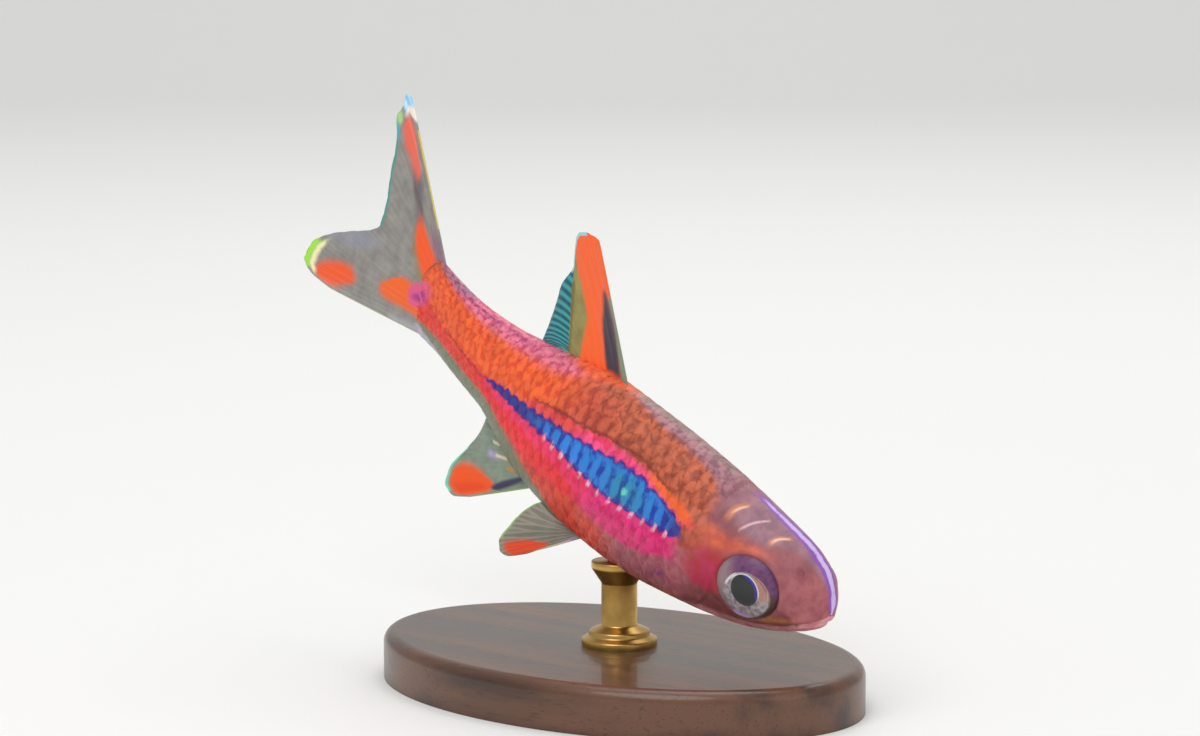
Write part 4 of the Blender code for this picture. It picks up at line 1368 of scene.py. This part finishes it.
# Guides of each fin: share of the root, length, rise in degrees, lean to the left in degrees.
DORSAL = ((0, 0.228, 52.8, -3), (0.12, 0.230, 51.4, -3), (0.20, 0.228, 49.6, -3), (0.27, 0.217, 48.5, -3),
          (0.34, 0.189, 46.1, -2), (0.42, 0.160, 43.8, -1), (0.52, 0.140, 35.5, 0), (0.65, 0.106, 24.6, 2),
          (0.8, 0.076, 8.1, 4), (1, 0.048, -18.6, 6))
ANAL = ((0, 0.145, -37, -4), (0.12, 0.173, -38.8, -5), (0.25, 0.175, -38.1, -5), (0.38, 0.152, -32.5, -5),
        (0.55, 0.102, -27.7, -4), (0.7, 0.064, -21.6, -2), (0.85, 0.039, -16, 0), (1, 0.018, -23.1, 0))
TAIL = ((0, 0.316, 28.2, 4), (0.05, 0.333, 26.6, 4), (0.085, 0.316, 26.2, 3), (0.12, 0.316, 23.4, 3),
        (0.175, 0.282, 20.4, 3), (0.25, 0.246, 14.3, 2), (0.34, 0.212, 6.3, 1), (0.42, 0.201, 0, 0),
        (0.47, 0.219, -3.7, 0), (0.55, 0.262, -7.5, -1), (0.64, 0.316, -11.4, -2), (0.73, 0.355, -14.9, -2),
        (0.81, 0.363, -17.8, -2), (0.88, 0.344, -18.7, -2), (0.94, 0.318, -19.3, -1), (1, 0.279, -19.3, 0))
PELVIC = ((0, 0.099, -42.8, 14), (0.15, 0.120, -43.1, 18), (0.3, 0.132, -39.3, 20),
          (0.45, 0.129, -32.7, 20), (0.6, 0.110, -23.7, 20), (0.8, 0.089, -9.8, 15), (1, 0.064, 9.9, 8))
PECTORAL = ((0, 0.130, 2, 12), (0.3, 0.134, -3, 13), (0.6, 0.115, -9, 13), (1, 0.070, -18, 14))

MIDLINE_FINS = {
    "dorsal": (("dorsal_fin",), 10, midline_root(0.498, 0.660, back_height), DORSAL),
    "anal": (("anal_fin",), 9, midline_root(0.608, 0.745, keel), ANAL),
    "tail": (("caudal_fin_upper", "caudal_fin_lower"), 19, tail_fin_root, TAIL),
}
FAR_RISE = 14
FAR_LEAN = 0.4
PELVIC_FAR = tuple((u, length, rise + FAR_RISE, lean * FAR_LEAN) for u, length, rise, lean in PELVIC)
fins = {}
for name, (nodes, rays, root, guides) in MIDLINE_FINS.items():
    fins[name] = build_fin(name + "_web", nodes, rays, root, guides)
for side, word, pelvic in ((-1, "right", PELVIC), (1, "left", PELVIC_FAR)):
    fins["pelvic_" + word] = build_fin(
        "pelvic_web_" + word, ("pelvic_fin_" + word,), 8, pelvic_root, pelvic, side)
    fins["pectoral_" + word] = build_fin(
        "pectoral_web_" + word, ("pectoral_fin_" + word,), 10, pectoral_root, PECTORAL, side)
print("fins:", {name: len(fin.data.polygons) for name, fin in fins.items()})

# %% [markdown]
# The webs are smoky and half clear, with pigment in patches. One material function serves all fins:
# it takes the web's colour, the number of rays and the zones of that fin, whose edges are given by
# share along the rays and share of the root across them.

# %% Masks of the fin rays
RAY_JOINTS = 34.0


def build_ray_group():
    """Masks of the rays, of their joints and of plain lines, for any number of rays."""
    group, p, given, out = new_group(
        "fin rays", (("Across", 0.5), ("Along", 0.5), ("Rays", 10.0)),
        (("Ray", "Float"), ("Joint", "Float"), ("Line", "Float")))
    phase = p.maths("FRACT", p.times(given["Across"], given["Rays"]))
    phase = p.maths("ABSOLUTE", p.minus(phase, 0.5))
    spread = p.times(p.smooth(given["Along"], *RAY_FORK), 0.25)
    ray = p.smooth(p.maths("ABSOLUTE", p.minus(phase, spread)), 0.20, 0.09)
    joint = p.smooth(p.maths("FRACT", p.times(given["Along"], RAY_JOINTS)), 0.75, 0.9)
    p.put(ray, out["Ray"])
    p.put(p.times(joint, ray), out["Joint"])
    p.put(p.smooth(phase, 0.42, 0.06), out["Line"])
    return group


ray_group = build_ray_group()
print("ray masks:", len(ray_group.nodes), "nodes")

# %% Material of a fin
FIN_LINES = 20.0
LINE_LEAN = 0.27
JOINT_COLOUR = (110, 90, 80)


def shaded(colour, factor):
    """A colour made darker or lighter."""
    return tuple(min(int(c * factor), 255) for c in colour)


def fin_material(name, rays, web, ray_colour, zones, clear=0.86, ray_strength=0.07):
    """Half clear web, paler rays, and zones of pigment that close the web."""
    material, shader = new_material(name, Roughness=0.35, Specular_IOR_Level=0.3, Coat_Weight=0.05)
    p = Pattern(material.node_tree)
    u, v = p.uv("fin")
    mottle = p.noise(p.place(), 2500.0, 4.0)
    across = p.plus(u, p.scaled(mottle, -0.014, 0.014))
    along = p.plus(v, p.scaled(mottle, -0.010, 0.010))
    made = use_group(p, ray_group, Across=u, Along=v, Rays=float(rays))
    leaned = p.sloped(p.minus(1.0, v), LINE_LEAN, u)
    lines = use_group(p, ray_group, Across=leaned, Along=0.0, Rays=FIN_LINES)["Line"]
    colour = p.mix(p.scaled(mottle, -0.4, 1.4), shaded(web, 0.86), shaded(web, 1.1))
    colour = p.mix(p.times(made["Ray"], ray_strength), colour, ray_colour)
    solid = p.times(made["Ray"], 0.5)
    for over, strength, soft, low, high in zones:
        if isinstance(over[0], tuple):
            over = p.mix(lines, *over)
        mask = p.times(p.zone(along, across, low, high, soft), float(strength))
        colour = p.mix(mask, colour, over)
        solid = p.maths("MAXIMUM", solid, mask)
    colour = p.mix(p.times(made["Joint"], 0.08), colour, JOINT_COLOUR)
    p.put(colour, shader.inputs["Base Color"])
    p.put(p.scaled(solid, clear, min(1.0, clear * 4)), shader.inputs["Alpha"])
    p.bump(shader, p.plus(made["Ray"], mottle), 0.12, 0.00001)
    return material


print("a web is darkened and lightened:", shaded((150, 150, 150), 0.86), shaded((150, 150, 150), 1.1))

# %% Zones of colour on the fins
FIN_ORANGE = (252, 92, 34)
DORSAL_ZONES = (
    ((255, 104, 46), 1, 0.03, ((0, 0), (1, 0)),
     ((0, 0.72), (0.10, 0.65), (0.22, 0.56), (0.36, 0.48), (0.52, 0.41), (0.72, 0.38), (0.93, 0.35),
      (1, 0.27))),
    ((134, 148, 122), 1, 0.02, ((0, 0), (0.60, 0)), ((0, 0.11), (0.25, 0.06), (0.60, 0.03))),
    ((70, 62, 76), 1, 0.03, ((0.04, 0.10), (0.22, 0.055), (0.45, 0.035), (0.62, 0.05)),
     ((0.04, 0.31), (0.31, 0.235), (0.50, 0.15), (0.62, 0.09))),
    (((12, 88, 112), (64, 162, 158)), 1, 0.015,
     ((0.12, 0.86), (0.18, 0.79), (0.34, 0.69), (0.49, 0.62), (0.62, 0.55), (0.75, 0.50), (0.88, 0.46),
      (1, 0.40)),
     ((0.12, 1), (1, 1))),
    (((90, 158, 150), (132, 196, 176)), 0.8, 0.05, ((0, 0.80), (0.28, 0.84)), ((0, 1), (0.28, 1))),
    ((104, 92, 36), 0.7, 0.015, ((0.16, 0.76), (0.34, 0.66), (0.62, 0.52), (0.90, 0.43)),
     ((0.16, 0.80), (0.34, 0.69), (0.62, 0.55), (0.90, 0.46))),
    ((176, 196, 132), 0.8, 0.03, ((0, 0.74), (0.07, 0.78)), ((0, 1), (0.07, 1))),
    ((150, 220, 232), 1, 0.010, ((0.978, 0.15), (1, 0.15)), ((0.978, 0.44), (1, 0.44))),
)
ANAL_ZONES = (
    (FIN_ORANGE, 1, 0.05, ((0.44, 0.12), (0.66, 0.05), (0.85, 0.06), (0.95, 0.12)),
     ((0.44, 0.26), (0.58, 0.36), (0.84, 0.42), (0.95, 0.36))),
    ((232, 66, 34), 0.6, 0.05, ((0.56, 0.12), (0.90, 0.13)), ((0.56, 0.22), (0.90, 0.26))),
    ((58, 48, 88), 0.95, 0.035, ((0.06, 0.13), (0.36, 0.06), (0.50, 0.04)),
     ((0.06, 0.20), (0.36, 0.18), (0.50, 0.13))),
    ((205, 150, 62), 0.8, 0.025, ((0, 0.24), (0.18, 0.30)), ((0, 0.32), (0.18, 0.37))),
    ((192, 172, 226), 0.9, 0.05, ((0.26, 0.46), (0.46, 0.50)), ((0.26, 0.52), (0.46, 0.58))),
    ((240, 222, 190), 0.9, 0.02, ((0, 0.42), (0.30, 0.49)), ((0, 0.46), (0.30, 0.54))),
    ((240, 222, 190), 0.8, 0.02, ((0, 0.60), (0.34, 0.66)), ((0, 0.64), (0.34, 0.70))),
    ((118, 222, 182), 1, 0.02, ((0.965, 0.18), (1, 0.18)), ((0.965, 0.58), (1, 0.58))),
    ((150, 190, 76), 0.9, 0.012, ((0, 0), (1, 0)), ((0, 0.015), (1, 0.015))),
)
PELVIC_ZONES = (
    ((232, 76, 40), 1, 0.05, ((0.40, 0.20), (0.66, 0.08), (0.94, 0.10)),
     ((0.40, 0.27), (0.70, 0.42), (0.94, 0.42))),
    ((238, 212, 170), 0.9, 0.02, ((0.15, 0), (1, 0)), ((0.15, 0.03), (1, 0.03))),
    ((150, 196, 110), 0.9, 0.02, ((0.965, 0.46), (1, 0.46)), ((0.965, 1), (1, 1))),
    ((190, 166, 206), 0.45, 0.06, ((0.05, 0), (0.30, 0)), ((0.05, 0.2), (0.30, 0.1))),
)
TAIL_ZONES = (
    ((152, 158, 184), 0.45, 0.06, ((0.76, 0.50), (1, 0.48)), ((0.76, 0.60), (1, 0.64))),
    ((150, 104, 128), 0.8, 0.06, ((0, 0), (0.26, 0.06)), ((0, 0.24), (0.26, 0.16))),
    ((100, 84, 94), 0.8, 0.05, ((0.42, 0.15), (0.54, 0.10), (0.66, 0.10)),
     ((0.42, 0.24), (0.56, 0.22), (0.66, 0.18))),
    ((150, 132, 84), 0.7, 0.05, ((0.02, 0.40), (0.30, 0.37), (0.52, 0.26)),
     ((0.02, 0.50), (0.30, 0.44), (0.52, 0.34))),
    (FIN_ORANGE, 1, 0.04, ((0, 0.14), (0.17, 0.18), (0.30, 0.19), (0.41, 0.19), (0.50, 0.22)),
     ((0, 0.48), (0.14, 0.42), (0.34, 0.37), (0.45, 0.32), (0.50, 0.28))),
    ((242, 108, 88), 1, 0.03, ((0.57, 0.08), (0.74, 0.05), (0.84, 0.04), (0.92, 0.07)),
     ((0.57, 0.12), (0.74, 0.13), (0.84, 0.13), (0.92, 0.11))),
    ((252, 244, 226), 1, 0.02, ((0.85, 0), (0.95, 0)), ((0.85, 0.02), (0.95, 0.09))),
    (((140, 208, 250), (190, 228, 248)), 1, 0.015, ((0.93, 0), (1, 0)), ((0.93, 0.07), (1, 0.09))),
    ((176, 222, 140), 1, 0.015, ((0.93, 0.105), (1, 0.105)), ((0.93, 0.13), (1, 0.15))),
    ((70, 180, 190), 1, 0.015, ((0.93, 0.13), (1, 0.14)), ((0.93, 0.15), (1, 0.18))),
    ((60, 160, 150), 0.9, 0.012, ((0.970, 0.17), (1, 0.17)), ((0.970, 0.42), (1, 0.42))),
    ((220, 204, 96), 0.9, 0.008, ((0.22, 0), (0.80, 0)), ((0.22, 0.012), (0.80, 0.010))),
    (FIN_ORANGE, 1, 0.04, ((0.55, 0.76), (0.65, 0.71), (0.77, 0.74), (0.86, 0.79), (0.93, 0.88)),
     ((0.55, 0.80), (0.60, 0.83), (0.75, 0.91), (0.86, 0.95), (0.93, 0.94))),
    ((252, 246, 192), 1, 0.02, ((0.90, 0.70), (0.955, 0.66)), ((0.90, 0.86), (0.955, 0.90))),
    ((166, 238, 66), 1, 0.018, ((0.950, 0.69), (1, 0.69)), ((0.950, 0.86), (1, 0.87))),
    ((248, 106, 40), 1, 0.045, ((0, 0.44), (0.10, 0.46), (0.22, 0.52), (0.34, 0.54), (0.39, 0.66)),
     ((0, 0.84), (0.14, 0.79), (0.31, 0.78), (0.36, 0.75), (0.39, 0.70))),
    ((226, 92, 140), 0.95, 0.03, ((0.05, 0.52), (0.12, 0.46), (0.20, 0.45), (0.24, 0.50)),
     ((0.05, 0.70), (0.12, 0.71), (0.18, 0.64), (0.24, 0.56))),
    ((164, 50, 138), 0.9, 0.03, ((0.08, 0.57), (0.16, 0.57)), ((0.08, 0.64), (0.16, 0.64))),
    ((188, 184, 190), 0.7, 0.04, ((0, 0.90), (0.30, 0.93)), ((0, 1), (0.30, 1))),
    ((168, 190, 116), 0.9, 0.012, ((0.15, 0.985), (0.95, 0.985)), ((0.15, 1), (0.95, 1))),
)
FIN_FINISHES = {
    "dorsal": ("dorsal fin", 10, (156, 146, 84), (170, 156, 92), DORSAL_ZONES),
    "anal": ("anal fin", 9, (142, 158, 140), (170, 176, 156), ANAL_ZONES),
    "tail": ("tail fin", 19, (152, 148, 142), (172, 164, 160), TAIL_ZONES),
}
for word in ("right", "left"):
    FIN_FINISHES["pelvic_" + word] = (
        "pelvic fin " + word, 8, (134, 134, 122), (206, 190, 166), PELVIC_ZONES, 0.86, 0.28)
    FIN_FINISHES["pectoral_" + word] = (
        "pectoral fin " + word, 10, (205, 150, 150), (235, 190, 180), (), 0.03)
for key, finish in FIN_FINISHES.items():
    fins[key].data.materials.append(fin_material(*finish))
print("fin materials:", len(FIN_FINISHES))

# %% [markdown]
# The stand is plain: an oval of dark wood and one brass rod up to the belly. The wood is a drum
# stretched to an oval with a rounded upper edge. The rod is turned, so its outline is drawn once
# and spun round its axis: a foot on the wood, a slim shaft, and a small cup that meets the skin.

# %% The wooden base
BASE_ROUND = 128
BASE_EDGE = 0.00030
BASE_EDGE_STEPS = 6


def build_base():
    """A smooth oval of wood as large as the solid, its upper edge rounded."""
    low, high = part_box("stand_base")
    middle = (low + high) / 2
    bm = bmesh.new()
    bmesh.ops.create_cone(bm, cap_ends=True, segments=BASE_ROUND, radius1=0.5, radius2=0.5, depth=1.0)
    bmesh.ops.scale(bm, vec=high - low, verts=bm.verts)
    bmesh.ops.translate(bm, vec=middle, verts=bm.verts)
    top = [e for e in bm.edges if all(v.co.z > middle.z for v in e.verts)]
    bmesh.ops.bevel(bm, geom=top, offset=BASE_EDGE, affect="EDGES", segments=BASE_EDGE_STEPS,
                    profile=0.5, material=-1)
    for face in bm.faces:
        face.smooth = len(face.verts) == 4
    for edge in bm.edges:
        edge.smooth = any(v.co.z > middle.z for v in edge.verts)
    mesh = mesh_of(bm, "base")
    return new_piece("stand_base_oval", mesh, ("stand_base",))


base = build_base()
print("base:", len(base.data.polygons), "faces")

# %% The rod
ROD_RADIUS = 0.00045
ROD_FOOT = 0.00095
ROD_COLLAR = 0.8 * ROD_FOOT
ROD_CUP = 0.00070
ROD_ROUND = 48
ROD_EDGE = 0.00003


def build_rod():
    """The turned rod between the wood and the belly."""
    low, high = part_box("stand_rod")
    axis = (low + high) / 2
    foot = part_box("stand_base")[1].z - 0.00005
    top = float(surface(ROD_STATION, math.pi)[2]) + 0.00010
    outline = ((0.0, foot), (ROD_FOOT, foot), (ROD_FOOT, foot + 0.00022), (ROD_COLLAR, foot + 0.00030),
               (ROD_COLLAR, foot + 0.00042), (ROD_RADIUS, foot + 0.00055), (ROD_RADIUS, top - 0.00055),
               (ROD_CUP, top - 0.00018), (ROD_CUP, top), (0.0, top))
    bm = bmesh.new()
    verts = [bm.verts.new((axis.x + r, axis.y, z)) for r, z in outline]
    edges = [bm.edges.new(pair) for pair in zip(verts, verts[1:])]
    bmesh.ops.spin(bm, geom=verts + edges, cent=(axis.x, axis.y, 0), axis=(0, 0, 1),
                   angle=2 * math.pi, steps=ROD_ROUND, use_merge=True)
    bmesh.ops.remove_doubles(bm, verts=bm.verts, dist=1e-7)
    bmesh.ops.recalc_face_normals(bm, faces=bm.faces)
    sharp = [e for e in bm.edges if len(e.link_faces) == 2 and e.calc_face_angle() > math.radians(30)]
    bmesh.ops.bevel(bm, geom=sharp, offset=ROD_EDGE, affect="EDGES", segments=2, profile=0.5, material=-1)
    mesh = mesh_of(bm, "rod")
    mesh.shade_smooth()
    return new_piece("stand_rod_turned", mesh, ("stand_rod",))


rod = build_rod()
print("rod:", len(rod.data.polygons), "faces")


# %% Materials of the stand
BRASS = ((202, 164, 92), (160, 122, 66))
WOOD = ((58, 34, 24), (104, 66, 44))
WOOD_PORES = (34, 20, 16)
TURNING = (200.0, 200.0, 30000.0)
GRAIN = (60.0, 900.0, 900.0)
GRAIN_START = (0.004, 0.0, 0.011)
PORES = (1400.0, 18000.0, 18000.0)


def stretched(p, scale, detail, start=(0, 0, 0)):
    """Noise with its own scale in each direction."""
    return p.noise(p.node("Mapping", p.place(), start, (0, 0, 0), scale).outputs[0], 1.0, detail)


def brass_material():
    """Satin brass with fine lines from turning and faint tarnish."""
    material, shader = new_material("satin brass", Roughness=0.3, Metallic=1.0)
    p = Pattern(material.node_tree)
    cloud = p.noise(p.place(), 900.0, 3.0)
    p.put(p.mix(p.smooth(cloud, 0.35, 0.70), *BRASS), shader.inputs["Base Color"])
    p.put(p.scaled(cloud, 0.22, 0.42), shader.inputs["Roughness"])
    p.bump(shader, stretched(p, TURNING, 2.0), 0.2, 0.00001)
    return material


def wood_material():
    """Dark stained hardwood, its grain running the long way of the base."""
    material, shader = new_material("dark stained wood", Roughness=0.35, Coat_Weight=0.3)
    p = Pattern(material.node_tree)
    figure = stretched(p, GRAIN, 4.0, GRAIN_START)
    pores = p.smooth(stretched(p, PORES, 2.0), 0.58, 0.70)
    colour = p.mix(p.times(pores, 0.45), p.mix(p.smooth(figure, 0.35, 0.65), *WOOD), WOOD_PORES)
    p.put(colour, shader.inputs["Base Color"])
    p.put(p.scaled(figure, 0.28, 0.45), shader.inputs["Roughness"])
    p.bump(shader, p.minus(figure, pores), 0.25, 0.00002)
    return material


rod.data.materials.append(brass_material())
base.data.materials.append(wood_material())
print("stand materials ready")
